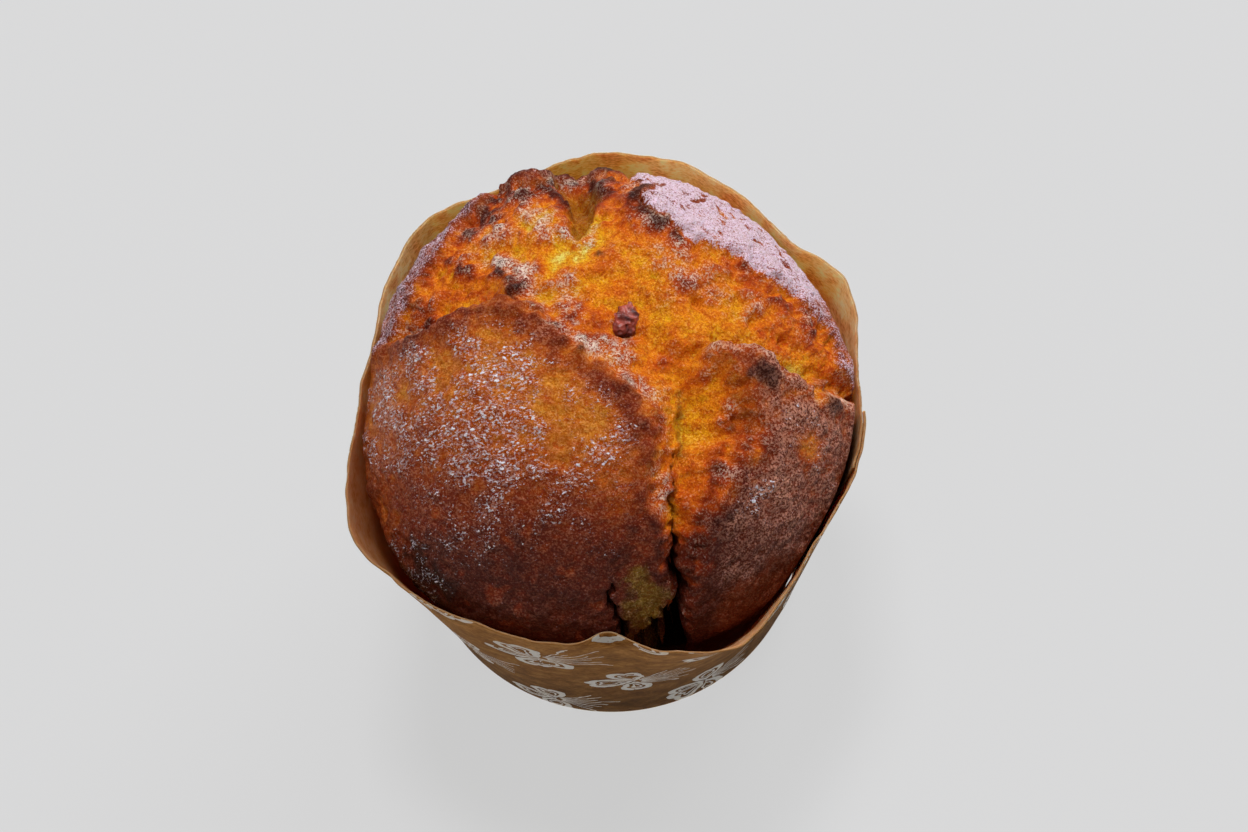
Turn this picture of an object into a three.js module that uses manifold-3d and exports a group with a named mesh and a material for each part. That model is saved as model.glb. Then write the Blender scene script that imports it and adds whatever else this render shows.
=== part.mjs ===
// A muffin baked in a free-standing paper case, in millimetres, +Z up.
// The origin is the middle of the case's base, on the table; -Y is the front.
//
// The case is a kraft paper band, rolled into a flaring wall and glued along one lap at the
// right, with a base disc whose edge turns up inside it. The cake fills the case, domes above
// its rim and has split along three cracks. One piece of dried fruit shows in the middle one.
import * as THREE from "three";
import { mergeVertices } from "three/addons/utils/BufferGeometryUtils.js";
import Module from "manifold-3d";

const wasm = await Module();
wasm.setup();

// Driving dimensions
const baseRadius = 25;
const wallSlant = 48; // the paper band's height, along its slope
const paper = 0.3;
const glueLine = 0.1; // between the two layers of the lap
const fitGap = 0.3; // kept between pieces that touch
const baseEdgeHeight = 4; // the base disc's turned-up edge
const cakeEdgeHeight = 45; // where the side ends and the dome begins
const cakeTopHeight = 63; // of the dome, before its swellings and cracks
const cakeFootRadius = 2; // the rounding where the cake's side meets its base

const seamAngle = -18; // degrees, where the band's inner end lies
const seamLap = 14; // degrees that the outer end runs on over it, where the two are glued
const lapRamp = 12; // degrees over which the outer end climbs onto the inner one

// The rim's waves: [angle, lean from upright, flare]. A flare of 1 is a straight wall, and
// more keeps the wall steep at the foot and turns it out at the rim.
const rimWaves = [
  [-168, 8.0, 1.0],
  [-150, 11.8, 1.1],
  [-135, 11.2, 1.1],
  [-117, 9.4, 1.0],
  [-100, 8.0, 1.1],
  [-88, 7.4, 1.2],
  [-77, 9.4, 1.4],
  [-64, 11.5, 1.6],
  [-50, 8.8, 1.4],
  [-36, 6.9, 1.2],
  [-10, 6.2, 1.0],
  [10, 6.4, 1.0],
  [29, 8.9, 1.2],
  [41, 6.2, 1.1],
  [59, 6.9, 1.1],
  [74, 8.8, 1.2],
  [92, 9.0, 1.2],
  [118, 7.0, 1.1],
  [134, 9.1, 1.2],
  [148, 7.8, 1.1],
  [164, 5.7, 1.0],
  [178, 6.0, 1.0],
];

// The cake's edge, where its side meets its dome: [angle, radius, lift over cakeEdgeHeight]
const cakeEdge = [
  [-155, 30.4, 0.0],
  [-135, 31.4, -0.5],
  [-115, 30.8, -0.8],
  [-95, 29.4, -0.8],
  [-80, 29.0, -1.2],
  [-66, 29.8, -1.4],
  [-48, 30.0, -0.5],
  [-25, 29.0, 1.2],
  [5, 28.9, 2.3],
  [35, 28.0, 2.2],
  [65, 28.8, 2.0],
  [95, 28.8, 3.2],
  [115, 29.2, 4.6],
  [135, 28.8, 4.0],
  [155, 28.8, 3.0],
  [175, 28.4, 1.6],
];

// Cracks in the dome, each a line of [x, y, half width, depth]
const cracks = [
  [
    [-1.5, 26, 3.4, 1.6],
    [-3.2, 16, 4.0, 2.8],
    [-1.5, 9, 5.4, 3.2],
    [3.4, 2.6, 6.0, 3.6],
    [8.2, -2.5, 5.4, 4.4],
    [9.4, -10, 4.8, 5.0],
    [8.6, -18, 4.4, 5.4],
    [8.0, -24, 4.2, 6.0],
    [8.4, -29, 4.8, 8.0],
  ],
  [
    [-1.5, 8, 5.0, 3.0],
    [-8, 7.6, 4.4, 2.6],
    [-15, 7.6, 4.4, 2.6],
    [-21, 5.4, 4.0, 2.2],
    [-27, 4.3, 3.4, 1.0],
  ],
  [
    [8.6, -1, 5.0, 3.6],
    [13, 2.8, 4.6, 3.6],
    [18.5, 1.4, 4.2, 3.6],
    [23.5, 0.3, 4.0, 3.2],
    [28, 0.8, 3.4, 1.4],
  ],
];

// Swellings of the dome, each [x, y, radius, rise]
const swellings = [
  [-10, -11, 12, 1.2],
  [-15, 19, 9, 2.6],
  [18, 17, 9, 1.4],
  [19, -11, 8, 0.8],
  [2, 22, 6, 1.2],
];

const fruit = { x: 1.3, y: 4.4, length: 5.0, width: 3.7, thickness: 3.3, sink: 0.8 };

// Facets
const wallSteps = 104;
const wallRings = 7;
const cakeSteps = 120;
const domeRings = 19;

const radians = THREE.MathUtils.degToRad;
const lerp = THREE.MathUtils.lerp;
const smooth = (t) => THREE.MathUtils.smoothstep(t, 0, 1);

// A column of a wave list at an angle: a closed Catmull-Rom curve through its points.
function waveValue(waves, degrees, column) {
  const count = waves.length;
  const first = waves[0][0];
  const turned = THREE.MathUtils.euclideanModulo(degrees - first, 360) + first;
  let i = count - 1;
  while (waves[i][0] > turned) i--;
  const point = (k) => {
    const wave = waves[THREE.MathUtils.euclideanModulo(k, count)];
    return [wave[0] + 360 * Math.floor(k / count), wave[column]];
  };
  const [p0, p1, p2, p3] = [i - 1, i, i + 1, i + 2].map(point);
  const gap = p2[0] - p1[0];
  const t = (turned - p1[0]) / gap;
  const slopeIn = ((p2[1] - p0[1]) / (p2[0] - p0[0])) * gap;
  const slopeOut = ((p3[1] - p1[1]) / (p3[0] - p1[0])) * gap;
  const [a, b] = [t * t * (3 - 2 * t), t * (1 - t) * (1 - t)];
  return p1[1] * (1 - a) + p2[1] * a + slopeIn * b - slopeOut * t * t * (1 - t);
}

// The wall's outer face at an angle, at a share (0 foot, 1 rim) of its height.
function wallPoint(degrees, share) {
  const lean = radians(waveValue(rimWaves, degrees, 1));
  const flare = waveValue(rimWaves, degrees, 2);
  const radius = baseRadius + wallSlant * Math.sin(lean) * Math.pow(share, flare);
  return { radius, z: wallSlant * Math.cos(lean) * share };
}

// A closed mesh from rows of points: each row joins the next, and so does each point in a row.
function gridGeometry(rows, { closedRow = true, closedColumn = true } = {}) {
  const [height, width] = [rows.length, rows[0].length];
  const positions = rows.flat(2);
  const index = [];
  for (let r = 0; r < (closedColumn ? height : height - 1); r++)
    for (let c = 0; c < (closedRow ? width : width - 1); c++) {
      const [r1, c1] = [(r + 1) % height, (c + 1) % width];
      const [a, b, d, e] = [r * width + c, r * width + c1, r1 * width + c, r1 * width + c1];
      index.push(a, b, e, a, e, d);
    }
  const geometry = new THREE.BufferGeometry();
  geometry.setAttribute("position", new THREE.Float32BufferAttribute(positions, 3));
  geometry.setIndex(index);
  return geometry;
}

// Adds a fan that closes a row of points round one middle point.
function closeWithFan(geometry, row, rowStart, middle, flipped) {
  const positions = Array.from(geometry.getAttribute("position").array);
  const centre = positions.length / 3;
  positions.push(...middle);
  const index = Array.from(geometry.index.array);
  row.forEach((_, c) => {
    const [a, b] = [rowStart + c, rowStart + ((c + 1) % row.length)];
    index.push(...(flipped ? [centre, b, a] : [centre, a, b]));
  });
  geometry.setAttribute("position", new THREE.Float32BufferAttribute(positions, 3));
  geometry.setIndex(index);
}

const polar = (degrees, radius, z) => [
  radius * Math.cos(radians(degrees)),
  radius * Math.sin(radians(degrees)),
  z,
];

// The paper band, from its inner end right round to its outer end, glued over the inner one.
function caseWallGeometry() {
  const climbStart = seamAngle + 360 - lapRamp - 1;
  const columns = [];
  for (let i = 0; i <= wallSteps; i++) {
    const degrees = seamAngle + ((360 + seamLap) * i) / wallSteps;
    const lifted = (paper + glueLine) * smooth((degrees - climbStart) / lapRamp);
    const outer = [];
    const inner = [];
    for (let k = 0; k <= wallRings; k++) {
      const { radius, z } = wallPoint(degrees, k / wallRings);
      outer.push(polar(degrees, radius + lifted, z));
      inner.unshift(polar(degrees, radius + lifted - paper, z));
    }
    columns.push([...outer, ...inner]);
  }
  const geometry = gridGeometry(columns, { closedColumn: false });
  // Each end of the band is a ladder of quads between its outer and inner edge.
  const last = wallRings * 2 + 1;
  const index = Array.from(geometry.index.array);
  [0, wallSteps].forEach((column) => {
    for (let k = 0; k < wallRings; k++) {
      const at = (n) => column * (last + 1) + n;
      const quad = [at(k), at(k + 1), at(last - k - 1), at(last - k)];
      const [a, b, c, d] = column === 0 ? quad.reverse() : quad;
      index.push(a, b, c, a, c, d);
    }
  });
  geometry.setIndex(index);
  return facingOut(geometry);
}

// The base disc with its turned-up edge, as a lathe profile that starts and ends on the axis.
function caseBaseGeometry() {
  const outer = baseRadius - paper - fitGap;
  const inner = outer - paper;
  const bend = 0.8;
  const profile = [
    [0, 0],
    [outer - bend, 0],
    [outer - bend * 0.3, bend * 0.3],
    [outer, bend],
    [outer, baseEdgeHeight],
    [inner, baseEdgeHeight],
    [inner, bend + paper],
    [inner - bend * 0.5, paper],
    [0, paper],
  ].map(([r, z]) => new THREE.Vector2(r, z));
  const lathe = new THREE.LatheGeometry(profile, cakeSteps);
  lathe.rotateX(Math.PI / 2); // the lathe's axis is Y
  return facingOut(lathe);
}

// How deep the nearest crack is at a point of the dome, with banks that ease into the crust.
function crackDepth(x, y) {
  let deepest = 0;
  for (const line of cracks)
    for (let i = 0; i + 1 < line.length; i++) {
      const [ax, ay, aWidth, aDepth] = line[i];
      const [bx, by, bWidth, bDepth] = line[i + 1];
      const [dx, dy] = [bx - ax, by - ay];
      const along = ((x - ax) * dx + (y - ay) * dy) / (dx * dx + dy * dy);
      const t = THREE.MathUtils.clamp(along, 0, 1);
      const away = Math.hypot(x - ax - t * dx, y - ay - t * dy);
      const bank = 1 - smooth(away / lerp(aWidth, bWidth, t));
      deepest = Math.max(deepest, lerp(aDepth, bDepth, t) * bank);
    }
  return deepest;
}

function swell(x, y) {
  return swellings.reduce((sum, [sx, sy, radius, rise]) => {
    const far = Math.hypot(x - sx, y - sy) / radius;
    return sum + rise * Math.exp(-far * far);
  }, 0);
}

// The cake's side at an angle and height: its own taper, held in by the paper.
function cakeSideRadius(degrees, z) {
  const taper = lerp(baseRadius - 1, waveValue(cakeEdge, degrees, 1), z / cakeEdgeHeight);
  const clear = paper + fitGap;
  const { z: rimZ } = wallPoint(degrees, 1);
  const held = wallPoint(degrees, Math.min(1, z / rimZ)).radius - clear;
  const besideBaseEdge = baseRadius - 2 * paper - 2 * fitGap;
  const foot = z < baseEdgeHeight + fitGap ? besideBaseEdge : Infinity;
  return Math.min(taper, held, foot);
}

// The cake: up its side and over its dome, closed by a fan at the base and one at the top.
function cakeGeometry() {
  const bottom = paper + fitGap;
  const sideHeights = [
    bottom,
    bottom + 0.4 * cakeFootRadius,
    bottom + cakeFootRadius,
    baseEdgeHeight + fitGap - 0.01,
    baseEdgeHeight + 2 * fitGap,
    14,
    24,
    34,
    41,
  ];
  const rows = sideHeights.map((z, k) => {
    const rounding = [cakeFootRadius, 0.4 * cakeFootRadius, 0][k] ?? 0;
    return ring((degrees) => polar(degrees, cakeSideRadius(degrees, z) - rounding, z));
  });
  for (let k = 0; k < domeRings; k++) {
    const share = Math.cos(((Math.PI / 2) * k) / domeRings);
    rows.push(ring((degrees) => domePoint(degrees, share)));
  }
  const geometry = gridGeometry(rows, { closedColumn: false });
  closeWithFan(geometry, rows[0], 0, [0, 0, bottom], true);
  closeWithFan(geometry, rows.at(-1), (rows.length - 1) * cakeSteps, domePoint(0, 0), false);
  return facingOut(geometry);
}

function ring(pointAt) {
  return Array.from({ length: cakeSteps }, (_, c) => pointAt((360 * c) / cakeSteps));
}

// The dome at an angle and a share (0 top, 1 edge) of its radius: a steep-shouldered crown,
// pushed in by the cracks and out by the swellings, mostly along Z and at its edge outwards.
function domePoint(degrees, share) {
  const edgeHeight = cakeEdgeHeight + waveValue(cakeEdge, degrees, 2);
  const radius = cakeSideRadius(degrees, cakeEdgeHeight) * share;
  const z = lerp(edgeHeight, cakeTopHeight, Math.pow(1 - share ** 3, 0.72));
  const [x, y] = polar(degrees, radius, z);
  const steep = share ** 6;
  const push = swell(x, y) * (1 - steep) - crackDepth(x, y) * (1 - 0.75 * steep);
  return polar(degrees, radius + push * steep * 0.5, z + push * (1 - 0.4 * steep));
}

// A lumpy piece of dried fruit: a sphere pulled into shape, with two soft creases.
function fruitGeometry(grow = 0) {
  const sphere = new THREE.IcosahedronGeometry(1, 4);
  const at = sphere.getAttribute("position");
  for (let i = 0; i < at.count; i++) {
    const [x, y, z] = [at.getX(i), at.getY(i), at.getZ(i)];
    const crease = 1 - 0.1 * Math.cos(3 * Math.atan2(y, x)) * (1 - z * z) - 0.06 * Math.cos(5 * z);
    at.setXYZ(
      i,
      x * (fruit.length / 2) * crease + x * grow,
      y * (fruit.width / 2) * crease + y * grow,
      z * (fruit.thickness / 2) * crease + z * grow,
    );
  }
  sphere.rotateY(radians(-12));
  sphere.rotateZ(radians(-50));
  const degrees = THREE.MathUtils.radToDeg(Math.atan2(fruit.y, fruit.x));
  const share = Math.hypot(fruit.x, fruit.y) / cakeSideRadius(degrees, cakeEdgeHeight);
  const surface = domePoint(degrees, share)[2];
  sphere.translate(fruit.x, fruit.y, surface - fruit.sink);
  return sphere;
}

// Turns a mesh that is inside out, by the sign of its volume.
function facingOut(geometry) {
  const merged = mergedPositions(geometry);
  const at = merged.getAttribute("position");
  const index = merged.index.array;
  const [a, b, c] = [new THREE.Vector3(), new THREE.Vector3(), new THREE.Vector3()];
  let volume = 0;
  for (let i = 0; i < index.length; i += 3) {
    a.fromBufferAttribute(at, index[i]);
    b.fromBufferAttribute(at, index[i + 1]);
    c.fromBufferAttribute(at, index[i + 2]);
    volume += a.dot(b.cross(c));
  }
  if (volume < 0)
    for (let i = 0; i < index.length; i += 3)
      [index[i + 1], index[i + 2]] = [index[i + 2], index[i + 1]];
  return merged;
}

function mergedPositions(geometry) {
  const bare = geometry.clone();
  bare.deleteAttribute("normal");
  bare.deleteAttribute("uv");
  return mergeVertices(bare, 1e-4);
}

function toSolid(geometry) {
  const merged = mergedPositions(geometry);
  return new wasm.Manifold(
    new wasm.Mesh({
      numProp: 3,
      vertProperties: merged.getAttribute("position").array,
      triVerts: new Uint32Array(merged.index.array),
    }),
  );
}

function fromSolid(solid) {
  const mesh = solid.getMesh();
  const geometry = new THREE.BufferGeometry();
  geometry.setAttribute("position", new THREE.Float32BufferAttribute(mesh.vertProperties, 3));
  geometry.setIndex(new THREE.BufferAttribute(mesh.triVerts, 1));
  return geometry;
}

const materials = {
  crust: new THREE.MeshStandardMaterial({ color: 0xa85a1c, roughness: 0.55, metalness: 0 }),
  kraftPaper: new THREE.MeshStandardMaterial({ color: 0x9a7444, roughness: 0.7, metalness: 0 }),
  driedFruit: new THREE.MeshStandardMaterial({ color: 0x6b2c22, roughness: 0.45, metalness: 0 }),
};

function named(name, geometry, material) {
  const mesh = new THREE.Mesh(geometry, material);
  mesh.name = name;
  return mesh;
}

const cakeWithPocket = fromSolid(toSolid(cakeGeometry()).subtract(toSolid(fruitGeometry(fitGap))));

const muffinInCase = new THREE.Group();
muffinInCase.add(
  named("case_wall", caseWallGeometry(), materials.kraftPaper),
  named("case_base", caseBaseGeometry(), materials.kraftPaper),
  named("muffin", cakeWithPocket, materials.crust),
  named("dried_fruit_piece", fruitGeometry(), materials.driedFruit),
);

export default muffinInCase;
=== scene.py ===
# A muffin in its printed kraft paper case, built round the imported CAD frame.
# Lengths are in millimetres and angles in degrees unless a note says otherwise.
from functools import partial

import bpy
import numpy as np
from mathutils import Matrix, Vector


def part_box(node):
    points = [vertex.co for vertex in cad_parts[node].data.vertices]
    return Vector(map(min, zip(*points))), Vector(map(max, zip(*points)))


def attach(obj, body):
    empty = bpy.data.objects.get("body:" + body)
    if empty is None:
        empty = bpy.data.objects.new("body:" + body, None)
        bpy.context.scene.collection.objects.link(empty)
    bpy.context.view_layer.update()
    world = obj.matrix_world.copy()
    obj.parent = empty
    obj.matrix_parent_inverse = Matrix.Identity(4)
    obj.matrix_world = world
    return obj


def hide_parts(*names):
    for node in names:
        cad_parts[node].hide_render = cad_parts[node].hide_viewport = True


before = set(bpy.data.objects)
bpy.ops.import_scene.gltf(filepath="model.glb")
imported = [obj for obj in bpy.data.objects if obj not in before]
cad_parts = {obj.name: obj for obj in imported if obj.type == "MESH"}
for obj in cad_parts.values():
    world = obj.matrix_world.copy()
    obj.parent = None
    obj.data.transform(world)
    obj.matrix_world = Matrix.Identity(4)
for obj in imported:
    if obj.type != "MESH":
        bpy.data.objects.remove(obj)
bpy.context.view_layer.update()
mm = 0.001  # in metres
sheetSize = 200  # of the square of paper that the flat UV map covers
latticeSize = 256  # entries in the tables of random values that the noises read
print("frame loaded:", sorted(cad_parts))


# The table entry of each lattice corner: its three whole numbers run through a shuffled order.
def latticeKey(order, corner):
    at = corner % latticeSize
    key = order[at[:, 0]]
    for axis in (1, 2):
        key = order[(key + at[:, axis]) % latticeSize]
    return key


# Gradient noise: random directions on a lattice, each dotted with the way to the point,
# blended by 6t^5 - 15t^4 + 10t^3. Runs from about -1 to 1.
def gradientNoise(points, size, seed):
    rng = np.random.default_rng(seed)
    directions = rng.normal(size=(latticeSize, 3))
    directions /= np.linalg.norm(directions, axis=1, keepdims=True)
    order = rng.permutation(latticeSize)
    cell = points / size
    corner = np.floor(cell).astype(int)
    part = cell - corner
    fade = part**3 * (part * (part * 6 - 15) + 10)
    total = np.zeros(len(points))
    for step in np.ndindex(2, 2, 2):
        direction = directions[latticeKey(order, corner + step)]
        weight = np.prod(np.where(step, fade, 1 - fade), axis=1)
        total += weight * np.sum(direction * (part - step), axis=1)
    return total * 1.6


# Several gradient noises added, each half the size and half the height of the one before.
def fractalNoise(points, size, seed, octaves=3):
    layers = [gradientNoise(points, size / 2**k, seed + k) / 2**k for k in range(octaves)]
    return sum(layers)


# Cell noise: the distance to the nearest of one random point per lattice cell, in cells.
def cellNoise(points, size, seed):
    rng = np.random.default_rng(seed)
    jitter = rng.random((latticeSize, 3))
    order = rng.permutation(latticeSize)
    cell = points / size
    corner = np.floor(cell).astype(int)
    nearest = np.full(len(points), 9.0)
    for step in np.ndindex(3, 3, 3):
        there = corner + np.array(step) - 1
        away = np.linalg.norm(there + jitter[latticeKey(order, there)] - cell, axis=1)
        nearest = np.minimum(nearest, away)
    return nearest


# Rises from 0 at low to 1 at high as t^2 (3 - 2t), and stays there.
def smoothStep(low, high, value):
    t = np.clip((value - low) / (high - low), 0, 1)
    return t * t * (3 - 2 * t)


# A hump that is 1 in the middle and falls off as exp(-(distance / width)^2).
def hump(distance, width):
    return np.exp(-((distance / width) ** 2))


# Distance from each (x, y) to a line of points, and the share of the way along its segment.
def toSegments(xy, line):
    line = np.asarray(line, float)
    best = np.full(len(xy), 1e9)
    index = np.zeros(len(xy), int)
    share = np.zeros(len(xy))
    for k in range(len(line) - 1):
        start = line[k, :2]
        way = line[k + 1, :2] - start
        t = np.clip((xy - start) @ way / (way @ way), 0, 1)
        away = np.linalg.norm(xy - start - t[:, None] * way, axis=1)
        closer = away < best
        best = np.where(closer, away, best)
        index = np.where(closer, k, index)
        share = np.where(closer, t, share)
    return best, index, share


# A line's own values (its columns after x and y) at the place nearest to each point.
def alongLine(line, index, share, column):
    values = np.asarray(line, float)[:, column]
    return values[index] * (1 - share) + values[index + 1] * share


# Signed distance to a closed outline: positive inside, by the crossings of a ray along +x.
def insideDistance(xy, outline):
    outline = np.asarray(outline, float)
    closed = np.vstack([outline, outline[:1]])
    away = toSegments(xy, closed)[0]
    crossings = np.zeros(len(xy), int)
    for (x0, y0), (x1, y1) in zip(closed[:-1], closed[1:]):
        if y0 == y1:
            continue
        spans = (y0 > xy[:, 1]) != (y1 > xy[:, 1])
        crossX = x0 + (xy[:, 1] - y0) * (x1 - x0) / (y1 - y0)
        crossings += spans & (xy[:, 0] < crossX)
    return np.where(crossings % 2 == 1, away, -away)


# Points from a radius, an angle in radians and a height.
def fromPolar(radius, turn, height):
    parts = np.broadcast_arrays(radius * np.cos(turn), radius * np.sin(turn), height)
    return np.stack(parts, axis=-1)


# Quads between the neighbours of a grid of point numbers, down a column and then to the next.
def gridQuads(index):
    corners = [index[:-1, :-1], index[1:, :-1], index[1:, 1:], index[:-1, 1:]]
    return np.stack(corners, axis=-1).reshape(-1, 4)


# The grid with its first column once more at its end, for rows that are closed rings.
def closedRows(index):
    return np.hstack([index, index[:, :1]])


# Triangles from a pole to each step of a closed ring of point numbers.
def poleFan(pole, ring):
    return np.stack([np.full_like(ring, pole), ring, np.roll(ring, -1)], axis=-1)


# A mesh from points and faces, with one attribute per entry: a float for each point, or a
# colour when the values have three columns.
def makePiece(name, points, faces, attributes=None, uv=None):
    mesh = bpy.data.meshes.new(name)
    mesh.from_pydata((points * mm).tolist(), [], [tuple(face) for face in faces])
    for key, values in (attributes or {}).items():
        values = np.asarray(values, np.float32)
        if values.ndim == 1:
            layer = mesh.attributes.new(key, "FLOAT", "POINT")
            layer.data.foreach_set("value", values)
        else:
            layer = mesh.attributes.new(key, "FLOAT_COLOR", "POINT")
            opaque = np.ones((len(values), 1), np.float32)
            layer.data.foreach_set("color", np.hstack([values, opaque]).ravel())
    if uv is not None:
        corners = np.empty(len(mesh.loops), np.int32)
        mesh.loops.foreach_get("vertex_index", corners)
        layer = mesh.uv_layers.new(name="flat")
        layer.data.foreach_set("uv", uv[corners].astype(np.float32).ravel())
    mesh.polygons.foreach_set("use_smooth", np.ones(len(mesh.polygons), bool))
    mesh.update()
    mesh.validate()
    piece = bpy.data.objects.new(name, mesh)
    bpy.context.scene.collection.objects.link(piece)
    return piece


# Linear red, green, blue and alpha of an sRGB hex colour.
def hexColor(text):
    srgb = np.array([int(text[k : k + 2], 16) / 255 for k in (1, 3, 5)])
    linear = np.where(srgb <= 0.04045, srgb / 12.92, ((srgb + 0.055) / 1.055) ** 2.4)
    return (*linear, 1.0)


# The colour at a value on a list of (position, hex) stops, mixed in linear light.
def rampColor(value, stops):
    positions = [position for position, _ in stops]
    colors = np.array([hexColor(color)[:3] for _, color in stops])
    return np.stack([np.interp(value, positions, channel) for channel in colors.T], axis=1)


# Colours moved a share of the way to another colour, given by its hex or point by point.
def blend(under, over, share):
    if isinstance(over, str):
        over = hexColor(over)[:3]
    return under + (over - under) * share[:, None]


# Adds a shader node and gives back one of its outputs. Inputs come in order or go by name or
# number: an output of another node is linked, anything else is set. Stops fill a colour ramp.
def addNode(tree, kind, inputs, out=0, stops=(), **settings):
    node = tree.nodes.new("ShaderNode" + kind)
    for key, value in settings.items():
        setattr(node, key, value)
    if isinstance(inputs, tuple):
        inputs = dict(enumerate(inputs))
    for key, value in inputs.items():
        if isinstance(value, bpy.types.NodeSocket):
            tree.links.new(value, node.inputs[key])
        else:
            node.inputs[key].default_value = value
    for count, (position, color) in enumerate(stops):
        if count >= len(node.color_ramp.elements):
            node.color_ramp.elements.new(position)
        node.color_ramp.elements[count].position = position
        node.color_ramp.elements[count].color = hexColor(color)
    return node.outputs[out] if len(node.outputs) else None


# The scale of a noise whose cells are this many millimetres across.
def patternScale(size):
    return 1 / (size * mm)


# An empty material, and addNode bound to its tree.
def newMaterial(name):
    material = bpy.data.materials.new(name)
    material.use_nodes = True
    material.node_tree.nodes.clear()
    return material, partial(addNode, material.node_tree)


# Puts a camera or light at a place and turns it to a target: tilted back from straight down by
# the angle of the way between them, then turned about the upright.
def aimObject(name, data, place, target):
    aimed = bpy.data.objects.new(name, data)
    bpy.context.scene.collection.objects.link(aimed)
    away = np.subtract(place, target)
    tilt = np.arctan2(np.hypot(away[0], away[1]), away[2])
    aimed.location = np.array(place) * mm
    aimed.rotation_euler = (tilt, 0, np.arctan2(away[0], -away[1]))
    return aimed


cameraView = dict(place=(1.6, -138.8, 377.9), target=(1.6, 2.5, 35.0), lens=86.5, sensor=36)


# The camera: a lens of this length on a sensor this wide, both in millimetres.
def makeCamera(view):
    data = bpy.data.cameras.new("camera")
    data.lens = view["lens"]
    data.sensor_width = view["sensor"]
    bpy.context.scene.camera = aimObject("camera", data, view["place"], view["target"])


makeCamera(cameraView)

caseShape = dict(
    baseRadius=25.0,
    slant=48.0,
    thickness=0.26,
    # angle, lean from upright, flare: 1 is a straight wall, more turns it out at the rim
    rimWaves=[
        (-168, 8, 1), (-150, 11.8, 1.1), (-135, 11.2, 1.1), (-117, 9.4, 1), (-100, 8, 1.1),
        (-88, 7.4, 1.2), (-77, 9.4, 1.4), (-64, 11.5, 1.6), (-50, 8.8, 1.4), (-36, 6.9, 1.2),
        (-10, 6.2, 1), (10, 6.4, 1), (29, 8.9, 1.2), (41, 6.2, 1.1), (59, 6.9, 1.1), (74, 8.8, 1.2),
        (92, 9, 1.2), (118, 7, 1.1), (134, 9.1, 1.2), (148, 7.8, 1.1), (164, 5.7, 1), (178, 6, 1),
    ],
    seamAngle=-18.0,
    seamLap=14.0,
    lapRamp=12.0,
    glueLine=0.1,
    crumple=0.5,  # how far the baked-in ripples push the wall, at the rim
    raggedRim=0.25,
    foldAngle=-90.5,  # of the fold where the rim tips in over the cake
    foldWidth=4.2,
    foldDepth=1.3,
    degreeLength=0.5,  # of paper, where the print is laid out
    columns=620,
    rows=44,
)


# A closed Catmull-Rom curve through the wave list: cubic Hermite pieces whose slope at each
# point is the slope between its neighbours.
def waveValues(angles, waves, column):
    knots = np.array([w[0] for w in waves], float)
    values = np.array([w[column] for w in waves], float)
    count = len(knots)
    knots = np.concatenate([knots - 360, knots, knots + 360])
    values = np.tile(values, 3)
    turned = (angles - knots[count]) % 360 + knots[count]
    k = np.searchsorted(knots, turned, side="right") - 1
    gap = knots[k + 1] - knots[k]
    t = (turned - knots[k]) / gap
    slopeIn = (values[k + 1] - values[k - 1]) / (knots[k + 1] - knots[k - 1]) * gap
    slopeOut = (values[k + 2] - values[k]) / (knots[k + 2] - knots[k]) * gap
    a = t * t * (3 - 2 * t)
    return (
        values[k] * (1 - a)
        + values[k + 1] * a
        + slopeIn * t * (1 - t) ** 2
        - slopeOut * t * t * (1 - t)
    )


# The wall's outer radius and height at an angle (degrees) and a share (0 foot, 1 rim):
# radius = base + slant sin(lean) share^flare, height = slant cos(lean) share.
def wallSurface(angles, share, shape):
    lean = np.radians(waveValues(angles, shape["rimWaves"], 1))
    flare = waveValues(angles, shape["rimWaves"], 2)
    radius = shape["baseRadius"] + shape["slant"] * np.sin(lean) * share**flare
    return radius, shape["slant"] * np.cos(lean) * share


# The wall's crumples: broad and fine noise stretched up the wall, growing with the cube of the
# share, and small dents that grow evenly.
def wallRipple(angles, share, shape):
    turn = np.radians(angles)
    around = fromPolar(30, turn, 14 * share)
    broad = gradientNoise(around, 9.0, 11)
    fine = gradientNoise(around * (1, 1, 0.45), 2.6, 12)
    dents = fractalNoise(around * (1, 1, 1.6), 5.0, 13)
    grown = share**3
    return shape["crumple"] * (grown * (0.8 * broad + 0.45 * fine) + 0.22 * dents * share)


# How far the rim tips in at its fold: a hump round the case that sets in with the square of
# the share, over the last 6% of the wall.
def foldInwards(angles, share, shape):
    across = (angles + 180) % 360 - 180 - shape["foldAngle"]
    last = np.clip((share - 0.94) / 0.06, 0, 1)
    return shape["foldDepth"] * hump(across, shape["foldWidth"]) * last**2


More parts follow.
